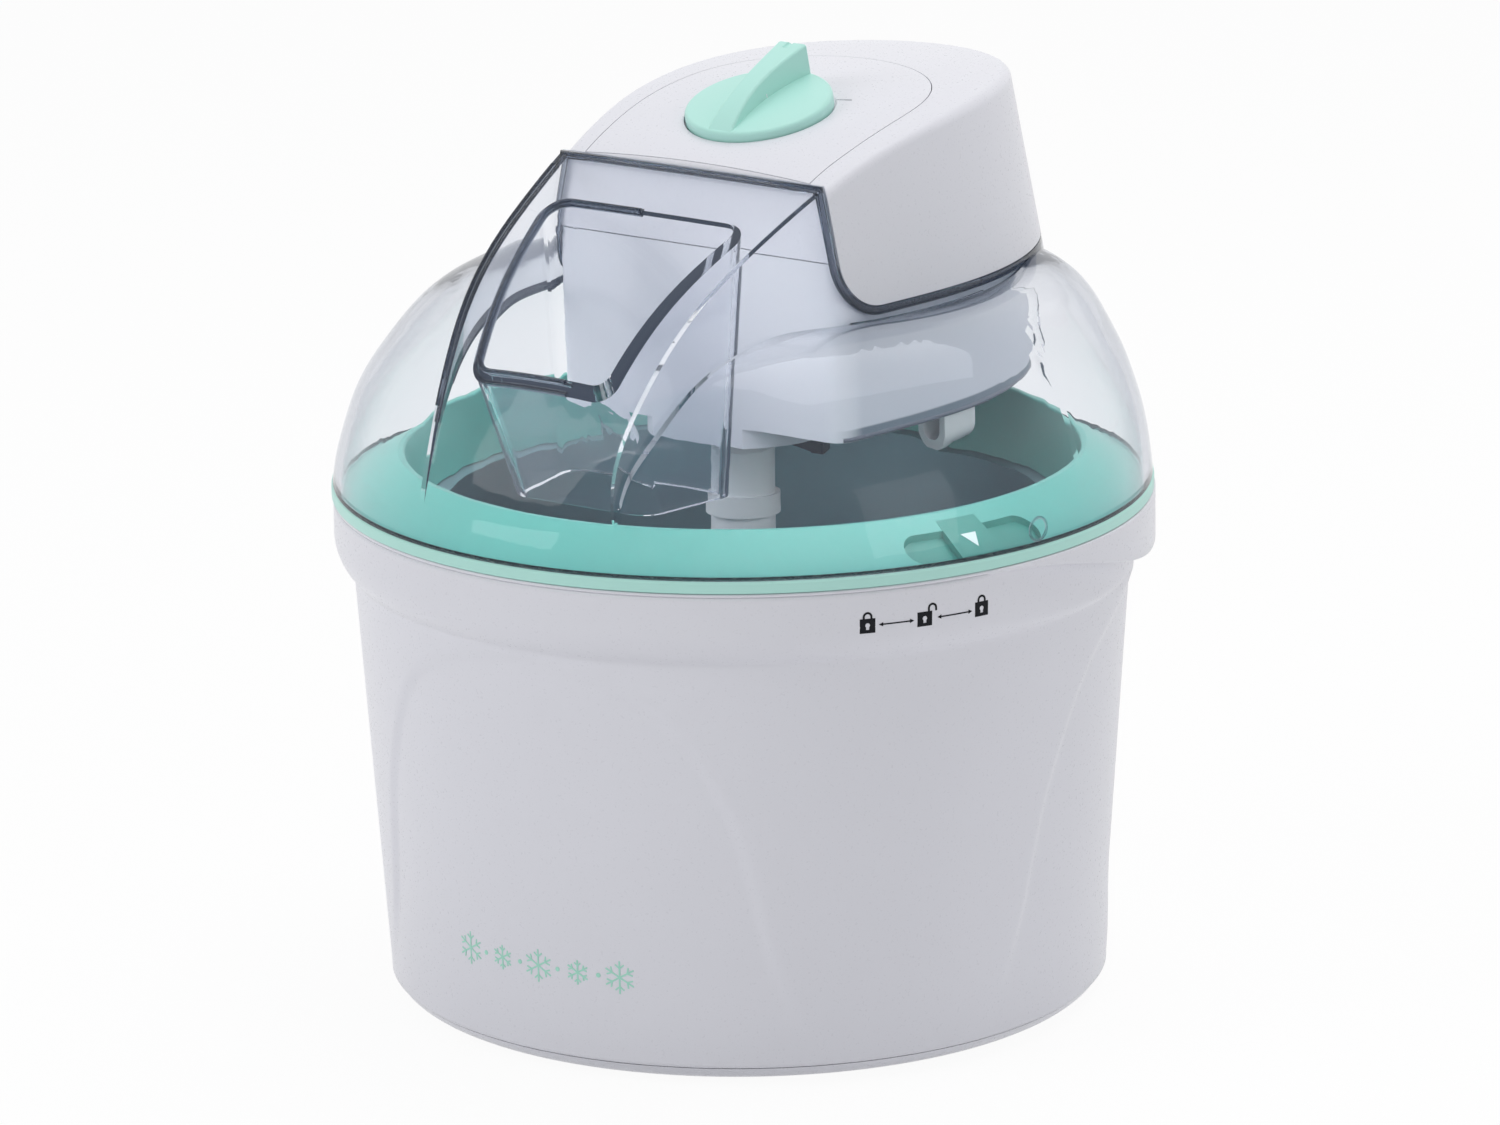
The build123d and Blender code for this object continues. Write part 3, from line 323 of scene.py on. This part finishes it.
# ------------------------------------------------------------------ housing skin
# half of an arched panel's outline from its top down, sideways and up in mm
ARCH = np.array(
    [(0, 109), (10, 108.2), (21, 105.3), (35.5, 98.8), (46, 88), (54, 71.7), (57.5, 61),
     (60, 48), (62.5, 35), (66, 23), (71, 11)]
)
ARCH_ANGLES = (0, 120, -120)
ARCH_DEPTH, ARCH_SOFT = 1.0, 1.8  # depth of the panels, half width of their soft edge
ARCH_FADE = (9, 34)  # heights between which the panels grow out of the plain foot
GRIP_ANGLES = (120, -120)
FOOT_RADIUS, FOOT_HEIGHT = 92.0, 8.2
FLARE_RADIUS, FLARE_HEIGHT = 99.2, 111.5
LIP_RADIUS, LIP_HEIGHT, LIP_SWELL = 104.0, 117, 0.7  # the lip swells at the grips
HOUSING_LOW, HOUSING_TOP, WALL = 5.5, 131.0, 2.4


def arch_edge():
    """The outline of an arched panel as a fine polyline (sideways, up)."""
    fine = np.linspace(0, len(ARCH) - 1, 220)
    points = []
    for axis in (0, 1):
        values = ARCH[:, axis].astype(float)
        slopes = np.gradient(values)
        index = np.minimum(fine.astype(int), len(ARCH) - 2)
        t = fine - index
        a, b = values[index], values[index + 1]
        sa, sb = slopes[index], slopes[index + 1]
        points.append(
            (2 * t**3 - 3 * t**2 + 1) * a + (t**3 - 2 * t**2 + t) * sa
            + (3 * t**2 - 2 * t**3) * b + (t**3 - t**2) * sb
        )
    return np.stack(points, -1)


def arch_depth(angle, radius, height):
    """How deep the arched panels lie at a place of the wall, 0 outside them."""
    edge = arch_edge()
    depth = np.zeros_like(angle)
    for centre in ARCH_ANGLES:
        turn = (angle - centre + 180) % 360 - 180
        sideways = np.abs(radius * np.radians(turn))
        close = np.full(angle.shape, 1e9)
        for x, z in edge:
            close = np.minimum(close, np.hypot(sideways - x, height - z))
        half = np.interp(height, edge[::-1, 1], edge[::-1, 0])
        inside = (sideways < half) & (height < ARCH[0, 1])
        signed = np.where(inside, close, -close)
        depth = np.maximum(depth, smooth_step(-ARCH_SOFT, ARCH_SOFT, signed))
    return depth * smooth_step(*ARCH_FADE, height)


def wall_radius(height):
    """Radius of the plain bucket wall with its flare."""
    draft = (FLARE_RADIUS - FOOT_RADIUS) / (FLARE_HEIGHT - FOOT_HEIGHT)
    plain = FOOT_RADIUS + (height - FOOT_HEIGHT) * draft
    middle, level, rounding = 91.2, 121.5, 12.8
    drop = np.clip(level - height, 0, None)
    flare = middle + np.sqrt(np.clip(rounding**2 - drop**2, 0, None))
    return np.where(height < FLARE_HEIGHT, plain, flare)


def grip_state(angle):
    """Angle from the nearest grip, lower edge of the lip there and radius of its hollow."""
    turn = np.full_like(angle, 180.0)
    for centre in GRIP_ANGLES:
        turn = np.minimum(turn, np.abs((angle - centre + 180) % 360 - 180))
    half_width, rise = 80.0, 12.9
    sideways = (LIP_RADIUS + LIP_SWELL) * np.sin(np.radians(np.clip(turn, 0, 90)))
    sideways = np.clip(sideways / half_width, 0, 1)
    edge = LIP_HEIGHT + rise * smooth_step(0, 1, sideways**1.2)
    shift, hollow, nowhere = 15.8, 115.0, 130
    radians = np.radians(turn)
    recess = -shift * np.cos(radians) + np.sqrt(hollow**2 - (shift * np.sin(radians)) ** 2)
    recess = np.where(turn < 90, recess, nowhere)
    return turn, edge, recess


def outer_radius(angle, height):
    """Radius of the housing's outer face below the lips, with arches and finger hollows."""
    plain = wall_radius(height)
    plain = plain - ARCH_DEPTH * arch_depth(angle, plain, height)
    recess = grip_state(angle)[2]
    gap, soft = recess - plain, 1.5
    blend = plain - (soft - gap) ** 2 / (4 * soft)
    hollow = np.where(gap > soft, plain, np.where(gap < -soft, recess, blend))
    return np.where(height < FLARE_HEIGHT, plain, hollow)


def housing_skin():
    """Outer wall with soft arches and finger lips, rim and inner wall."""
    count = 540
    angle = np.linspace(0, 360, count, endpoint=False)
    turn, edge, recess = grip_state(angle)
    in_grip = 1 - smooth_step(47.5, 50.5, turn)
    foot = wall_radius(np.array(8.0))
    rows = []

    def row(radius, height):
        rows.append((np.broadcast_to(radius, angle.shape), np.broadcast_to(height, angle.shape)))

    row(foot - 1.0, HOUSING_LOW)
    row(foot - 0.35, HOUSING_LOW)
    row(foot - 0.05, HOUSING_LOW + 0.35)
    for height in np.linspace(6.6, 110.5, 78):
        level = np.full_like(angle, height)
        row(outer_radius(angle, level), level)
    under = np.minimum(edge - 0.15, 129.7)
    for share in np.linspace(0, 1, 22):
        level = FLARE_HEIGHT + (under - FLARE_HEIGHT) * share
        row(outer_radius(angle, level), level)
    inside = rows[-1][0]
    lip = LIP_RADIUS + LIP_SWELL * in_grip
    low, high = np.maximum(edge, LIP_HEIGHT), HOUSING_TOP - 0.4
    row(inside + (lip - 0.5 - inside) * 0.5, low)
    row(lip - 0.5, low)
    row(lip - 0.12, low + 0.14)
    row(lip, low + 0.5)
    for share in (0.3, 0.6, 0.9):
        row(lip, low + 0.5 + (high - low - 0.5) * share)
    row(lip, np.full_like(angle, high))
    row(lip - 0.12, HOUSING_TOP - 0.12)
    row(lip - 0.4, HOUSING_TOP)
    row(101.9 - 5.0 * in_grip * smooth_step(0, 4, LIP_RADIUS - recess), HOUSING_TOP)
    back = np.minimum(101.6, recess - WALL)
    row(back, HOUSING_TOP - 0.3)
    row(back, 122.0)
    row(np.minimum(97.7, recess - WALL), 113.0)
    row(89.8, 7.0)
    row(foot - WALL, HOUSING_LOW)
    vertices = []
    for radius, height in rows:
        x = radius * np.sin(np.radians(angle)) * MM
        y = -radius * np.cos(np.radians(angle)) * MM
        vertices.extend(zip(x, y, height * MM))
    faces = []
    for level in range(len(rows)):
        lower, upper = level * count, (level + 1) % len(rows) * count
        for step in range(count):
            after = (step + 1) % count
            faces.append((lower + step, lower + after, upper + after, upper + step))
    skin = mesh_piece("housing_skin", vertices, faces, WHITE, "housing")
    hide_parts("housing")


housing_skin()


# ------------------------------------------------------------------ printed and raised marks
def thin_print(name, shapes, place, material, body, thick=0.05):
    """Thin closed solids from flat outlines in mm; `place(u, v, lift)` lays them on a face."""
    work = bmesh.new()
    for loops in shapes:
        edges = []
        for loop in loops:
            corners = [work.verts.new((u, v, 0)) for u, v in loop]
            for first, second in zip(corners, corners[1:] + corners[:1]):
                edges.append(work.edges.new((first, second)))
        bmesh.ops.triangle_fill(work, use_beauty=True, edges=edges)
    drawn = bmesh.ops.extrude_face_region(work, geom=work.faces[:], use_keep_orig=True)
    for item in drawn["geom"]:
        if isinstance(item, bmesh.types.BMVert):
            item.co.z = thick
    work.verts.ensure_lookup_table()
    vertices = [place(v.co.x, v.co.y, v.co.z) for v in work.verts]
    work.verts.index_update()
    faces = [[v.index for v in face.verts] for face in work.faces]
    work.free()
    return mesh_piece(name, vertices, faces, material, body, smooth=False)


def on_wall(angle, height):
    """Lays a print on the outer face of the housing, centred at an angle and a height."""
    gap = 0.03

    def place(u, v, lift):
        radius = float(wall_radius(np.array(height)))
        turn = angle + math.degrees(u / radius)
        level = height + v
        reach = float(outer_radius(np.array([turn]), np.array([level]))[0]) + gap + lift
        turn = math.radians(turn)
        return (reach * math.sin(turn) * MM, -reach * math.cos(turn) * MM, level * MM)

    return place


def round_stretch(x, y, radius, start, end, steps=14):
    """Points along an arc, angles in degrees."""
    angles = np.radians(np.linspace(start, end, steps))
    return [(x + radius * math.cos(a), y + radius * math.sin(a)) for a in angles]


def stroke(start, end, width):
    """A straight stroke as a closed outline."""
    (x0, y0), (x1, y1) = start, end
    length = math.hypot(x1 - x0, y1 - y0)
    dx, dy = -(y1 - y0) / length * width / 2, (x1 - x0) / length * width / 2
    return [(x0 + dx, y0 + dy), (x1 + dx, y1 + dy), (x1 - dx, y1 - dy), (x0 - dx, y0 - dy)]


def padlock(u, v, is_open):
    """A padlock: body with a keyhole, and a shackle that is shut or swung aside."""
    half, tall = 2.0, 1.85
    body = [(u - half, v - tall), (u + half, v - tall), (u + half, v + tall), (u - half, v + tall)]
    keyhole = round_stretch(u, v + 0.15, 0.62, -50, 230)
    keyhole += [(u - 0.42, v - 1.0), (u + 0.42, v - 1.0)]
    middle, foot = (u + 2.1, v + 2.6) if is_open else (u, v + 2.3)
    outer, inner, root = 1.25, 0.72, v + tall - 0.1
    end = foot - 0.8 if is_open else root
    shackle = [(middle + outer, end)]
    shackle += round_stretch(middle, foot, outer, 0, 180)
    shackle += [(middle - outer, root), (middle - inner, root)]
    shackle += round_stretch(middle, foot, inner, 180, 0)
    shackle += [(middle + inner, end)]
    return [[body, keyhole], [shackle]]


def double_arrow(start, end):
    """A thin line with a small arrowhead at both ends."""
    joints = np.linspace(start + 0.8, end - 0.8, 7)
    shapes = [[stroke((a, 0), (b, 0), 0.34)] for a, b in zip(joints[:-1], joints[1:])]
    for tip, back in ((start, start + 1.1), (end, end - 1.1)):
        shapes.append([[(tip, 0), (back, 0.55), (back, -0.55)]])
    return shapes


def lock_marks():
    """Shut, open, shut padlocks with arrows between, beside the tab of the ring."""
    first, middle, last, level = 51.7, 60.0, 69.0, 121.4
    to_mm = math.radians(1) * float(wall_radius(np.array(level)))
    shapes = padlock((first - middle) * to_mm, -0.1, False)
    shapes += padlock(0, 0, True)
    shapes += padlock((last - middle) * to_mm, 0.1, False)
    for start, end in ((53.3, 58.4), (61.9, 67.4)):
        shapes += double_arrow((start - middle) * to_mm, (end - middle) * to_mm)
    thin_print("lock_marks", shapes, on_wall(middle, level), INK, "housing")


def snowflake(u, v, size, arms=6):
    """A snowflake of straight strokes: arms with one pair of side twigs each."""
    shapes = []
    for arm in range(arms):
        turn = math.radians(90 + arm * 360 / arms)
        reach = (u + size * math.cos(turn), v + size * math.sin(turn))
        shapes.append([stroke((u, v), reach, 0.42)])
        root = (u + 0.55 * size * math.cos(turn), v + 0.55 * size * math.sin(turn))
        for side in (-1, 1):
            twig = turn + side * math.radians(50)
            tip = (root[0] + 0.36 * size * math.cos(twig), root[1] + 0.36 * size * math.sin(twig))
            shapes.append([stroke(root, tip, 0.38)])
    return shapes


def front_motif():
    """A straight row of snowflakes and dots, low on the front of the housing."""
    pitch, large, small, dot = 11.6, 4.3, 3.2, 0.6
    shapes = []
    for step in range(-2, 3):
        shapes += snowflake(step * pitch, 0, large if step % 2 == 0 else small)
    for step in range(-2, 2):
        shapes.append([round_stretch(step * pitch + pitch / 2, 0, dot, 0, 345, 24)])
    thin_print("front_motif", shapes, on_wall(0.4, 28), PRINT_MINT, "housing")


# the lock ring's slope as radius and height of its two edges, and the angle of its tab
SLOPE_OUTER, SLOPE_INNER = (101.2, 134.2), (86.0, 142.5)
SLOPE_RISE = (SLOPE_INNER[1] - SLOPE_OUTER[1]) / (SLOPE_OUTER[0] - SLOPE_INNER[0])
TAB_ANGLE = 70.4


def slope_height(radius):
    """Height of the lock ring's slope at a radius."""
    return SLOPE_OUTER[1] + (SLOPE_OUTER[0] - radius) * SLOPE_RISE


def tab_mark():
    """The arrow on the tab of the ring, lying on its slope."""
    tilt = math.atan(SLOPE_RISE)
    middle, tab_rise, gap = 96.6, 0.4, 0.04

    def place(u, v, lift):
        turn = math.radians(TAB_ANGLE) + u / middle
        radius = middle - v * math.cos(tilt) + (gap + lift) * math.sin(tilt)
        level = slope_height(middle) + tab_rise
        level += v * math.sin(tilt) + (gap + lift) * math.cos(tilt)
        return (radius * math.sin(turn) * MM, -radius * math.cos(turn) * MM, level * MM)

    mark = [[[(-2.3, 2.5), (2.3, 2.5), (0, -2.5)]]]
    thin_print("tab_mark", mark, place, PRINT_PALE, "lock_ring")


def paint_ring():
    """Lighter mint on the lip outside the lid as painted light, darker mint in the lock slot and
    on its tab as painted shade.
    """
    ring = nodes["lock_ring"]
    for material in (MINT, SLOT_SHADE_MINT):
        ring.data.materials.append(material)
    lit_lip_slot, shade_slot = 1, 2
    for face in ring.data.polygons:
        x, y, z = face.center / MM
        radius = math.hypot(x, y)
        angle = math.degrees(math.atan2(x, -y))
        lift = z - slope_height(radius)
        in_slot = 58.5 < angle < 83 and 91.5 < radius < 101.3 and -1.9 < lift < -0.2
        on_tab = abs(angle - TAB_ANGLE) < 4.2 and 88.5 < radius < 101.3 and lift > 0.1
        # painted light: the lip outside the lid gets the lighter mint
        if radius > 101.6 and z > HOUSING_TOP:
            face.material_index = lit_lip_slot
        # painted shade in the lock slot and on its tab
        elif in_slot or on_tab:
            face.material_index = shade_slot


def lid_circle():
    """Small raised circle on the lid beside the lock slot."""
    angle, level, reach = math.radians(79.2), 138.4, 103.9
    centre = Vector((reach * math.sin(angle), -reach * math.cos(angle), level))
    sideways = Vector((math.cos(angle), math.sin(angle), 0))
    outward = Vector((math.sin(angle), -math.cos(angle), 0))
    circle, tube = 2.9, 0.34
    around, across = 64, 12
    vertices = []
    for turn in np.linspace(0, 2 * math.pi, around, endpoint=False):
        direction = sideways * math.cos(turn) + Vector((0, 0, 1)) * math.sin(turn)
        for ring in np.linspace(0, 2 * math.pi, across, endpoint=False):
            spot = centre + direction * (circle + tube * math.cos(ring))
            spot = spot + outward * tube * math.sin(ring)
            vertices.append(spot * MM)
    faces = []
    for i in range(around):
        for j in range(across):
            k, m = (i + 1) % around, (j + 1) % across
            faces.append((i * across + j, k * across + j, k * across + m, i * across + m))
    mesh_piece("lid_circle", vertices, faces, EDGE, "lid")


def inlay_dash():
    """The short line beside the knob that its notch points at."""
    mesh = nodes["top_inlay"].data
    corners = [v.co for v in mesh.vertices]
    tree = BVHTree.FromPolygons(corners, [list(f.vertices) for f in mesh.polygons])
    above, gap = 0.3, 0.02

    def place(u, v, lift):
        top = tree.ray_cast(Vector((u * MM, v * MM, above)), Vector((0, 0, -1)))[0]
        return (u * MM, v * MM, top.z + (gap + lift) * MM)

    dash = [[stroke((14.7, 22.3), (18.3, 24.1), 0.4)]]
    thin_print("inlay_dash", dash, place, PRINT_GREY, "motor_unit")


# ------------------------------------------------------------------ rounded edges
def sharp_edges(node, wanted, least_angle=50):
    """Sharp edges of a CAD node in mm, as points and normals joined by neighbours."""
    work = bmesh.new()
    work.from_mesh(nodes[node].data)
    bmesh.ops.remove_doubles(work, verts=work.verts, dist=1e-6)
    places, normals, near = {}, {}, {}
    for edge in work.edges:
        if len(edge.link_faces) != 2 or edge.calc_face_angle() < math.radians(least_angle):
            continue
        ends = [v.co / MM for v in edge.verts]
        if not all(wanted(end) for end in ends):
            continue
        for here, there in (edge.verts, reversed(edge.verts)):
            places[here.index] = here.co / MM
            near.setdefault(here.index, set()).add(there.index)
            total = normals.get(here.index, Vector((0, 0, 0)))
            normals[here.index] = total + edge.link_faces[0].normal + edge.link_faces[1].normal
    work.free()
    return places, normals, near


def runs(near):
    """Splits joined points into runs that end where edges branch or stop, or close in a loop."""
    used = set()
    paths = []
    ends = [v for v in near if len(near[v]) != 2]
    for start in ends + list(near):
        for step in near[start]:
            if frozenset((start, step)) in used:
                continue
            path = [start, step]
            used.add(frozenset(path))
            while len(near[path[-1]]) == 2 and path[-1] != start:
                after = [v for v in near[path[-1]] if frozenset((path[-1], v)) not in used]
                if not after:
                    break
                used.add(frozenset((path[-1], after[0])))
                path.append(after[0])
            paths.append(path)
    return paths


def edge_bead(name, node, wanted, radius, inset, material, body):
    """A round bead along sharp edges of a node, drawn back into its walls."""
    places, normals, near = sharp_edges(node, wanted)
    curve = bpy.data.curves.new(name, "CURVE")
    curve.dimensions = "3D"
    curve.bevel_depth = radius * MM
    curve.bevel_resolution = 3
    curve.use_fill_caps = True
    for path in runs(near):
        closed = path[0] == path[-1]
        points = path[:-1] if closed else path
        if len(points) < 3:
            continue
        spline = curve.splines.new("POLY")
        spline.points.add(len(points) - 1)
        for point, index in zip(spline.points, points):
            spot = places[index] - normals[index].normalized() * inset
            point.co = (*(spot * MM), 1)
        spline.use_cyclic_u = closed
    drawn = bpy.data.objects.new(name + "_line", curve)
    mesh = bpy.data.meshes.new_from_object(drawn)
    bpy.data.objects.remove(drawn)
    mesh.name = name
    mesh.materials.clear()
    mesh.materials.append(material)
    for polygon in mesh.polygons:
        polygon.use_smooth = True
    piece = bpy.data.objects.new(name, mesh)
    bpy.context.scene.collection.objects.link(piece)
    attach(piece, body)


def unit_outline(spot):
    """Whether a point of the motor unit's foot is on its outer edge, away from the hood."""
    return math.hypot(spot.x, spot.y - UNIT_MIDDLE) > 46 and spot.y > -18


def hood_outside(spot):
    """Whether a point of the lid's saddle loop is on its outer side, without the right crease."""
    seam = 185.5
    if spot.x > 10 and spot.y < -23:
        return False
    side = 53.5 + (seam - spot.z) * math.tan(math.radians(12))
    if spot.y > UNIT_MIDDLE:
        back = 72.1 + (seam - spot.z) * math.tan(math.radians(8))
        return math.hypot(spot.x / side, (spot.y - UNIT_MIDDLE) / back) > 0.985
    return True


def rounded_edges():
    """Beads on the hood and saddle, on the foot of the lid and under the motor unit; their dark
    tint and grey stand for dark edge lines, as painted shade.
    """
    saddle_low, hood_back = 160, -20.5
    edge_bead(
        "hood_edge", "lid",
        lambda v: v.z > saddle_low and v.y < hood_back and hood_outside(v),
        0.75, 0.62, EDGE, "lid",
    )
    edge_bead(
        "saddle_edge", "lid",
        lambda v: v.z > saddle_low and v.y > hood_back and hood_outside(v),
        1.1, 1.5, EDGE, "lid",
    )
    edge_bead(
        "lid_foot", "lid", lambda v: v.z < 134.5 and math.hypot(v.x, v.y) > 103,
        0.5, 0.65, FOOT_CLEAR, "lid",
    )
    edge_bead(
        "unit_foot", "motor_base", lambda v: abs(v.z - UNIT_FOOT) < 0.4 and unit_outline(v),
        0.8, 0.8, FOOT_SHADE_GREY, "motor_unit",
    )


rounded_edges()
paint_ring()
lock_marks()
front_motif()
tab_mark()
lid_circle()
inlay_dash()


# ------------------------------------------------------------------ stage and light
def seen_share(tree):
    """1 for what the camera sees directly, mirrored or through the lid, 0 for what lights."""
    path = tree.nodes.new("ShaderNodeLightPath")
    total = path.outputs["Is Camera Ray"]
    for name in ("Is Glossy Ray", "Is Transmission Ray"):
        node = tree.nodes.new("ShaderNodeMath")
        node.operation = "ADD"
        node.use_clamp = True
        tree.links.new(total, node.inputs[0])
        tree.links.new(path.outputs[name], node.inputs[1])
        total = node.outputs["Value"]
    return total


def make_stage():
    """White floor that shows as plain white and keeps a faint shadow."""
    size, white_share = 12, 0.94
    mesh = bpy.data.meshes.new("floor")
    corners = [(-size, -size, 0), (size, -size, 0), (size, size, 0), (-size, size, 0)]
    mesh.from_pydata(corners, [], [(0, 1, 2, 3)])
    floor = bpy.data.objects.new("floor", mesh)
    bpy.context.scene.collection.objects.link(floor)
    material, tree, shader = new_material("white_floor")
    shader.inputs["Base Color"].default_value = (0.86, 0.86, 0.87, 1)
    shader.inputs["Roughness"].default_value = 0.7
    share = tree.nodes.new("ShaderNodeMath")
    share.operation = "MULTIPLY"
    share.inputs[1].default_value = white_share
    tree.links.new(seen_share(tree), share.inputs[0])
    glow = tree.nodes.new("ShaderNodeEmission")
    glow.inputs["Strength"].default_value = 1.0
    mix = tree.nodes.new("ShaderNodeMixShader")
    tree.links.new(share.outputs["Value"], mix.inputs["Fac"])
    tree.links.new(shader.outputs["BSDF"], mix.inputs[1])
    tree.links.new(glow.outputs["Emission"], mix.inputs[2])
    tree.links.new(mix.outputs["Shader"], tree.nodes["Material Output"].inputs["Surface"])
    mesh.materials.append(material)


def make_world():
    """White surroundings for what is seen, a softer level for what is lit."""
    world = bpy.data.worlds.new("world")
    bpy.context.scene.world = world
    world.use_nodes = True
    tree = world.node_tree
    back = tree.nodes["Background"]
    lit_level, seen_level = 0.36, 1.0
    level = tree.nodes.new("ShaderNodeMapRange")
    level.inputs["To Min"].default_value = lit_level
    level.inputs["To Max"].default_value = seen_level
    tree.links.new(seen_share(tree), level.inputs["Value"])
    tree.links.new(level.outputs["Result"], back.inputs["Strength"])
    back.inputs["Color"].default_value = (1, 1, 1, 1)


def area_light(name, place, target, size, power):
    """A soft rectangular lamp aimed at a point."""
    data = bpy.data.lights.new(name, "AREA")
    data.shape = "RECTANGLE"
    data.size, data.size_y = size
    data.energy = power
    lamp = bpy.data.objects.new(name, data)
    lamp.visible_glossy = False
    lamp.location = place
    aim = Vector(target) - Vector(place)
    lamp.rotation_euler = aim.to_track_quat("-Z", "Y").to_euler()
    bpy.context.scene.collection.objects.link(lamp)


def make_lights():
    """A large key from the front left, a fill from the right and a top light."""
    area_light("key", (-0.9, -1.4, 0.9), (0, 0, 0.12), (0.9, 1.1), 12)
    area_light("fill", (1.6, -0.2, 0.7), (0, 0, 0.12), (0.8, 1.0), 5)
    area_light("top", (0.1, 0.4, 1.4), (0, 0, 0.1), (1.0, 1.0), 10.5)


make_camera()
make_stage()
make_world()
make_lights()
bpy.context.scene.view_settings.view_transform = "Standard"
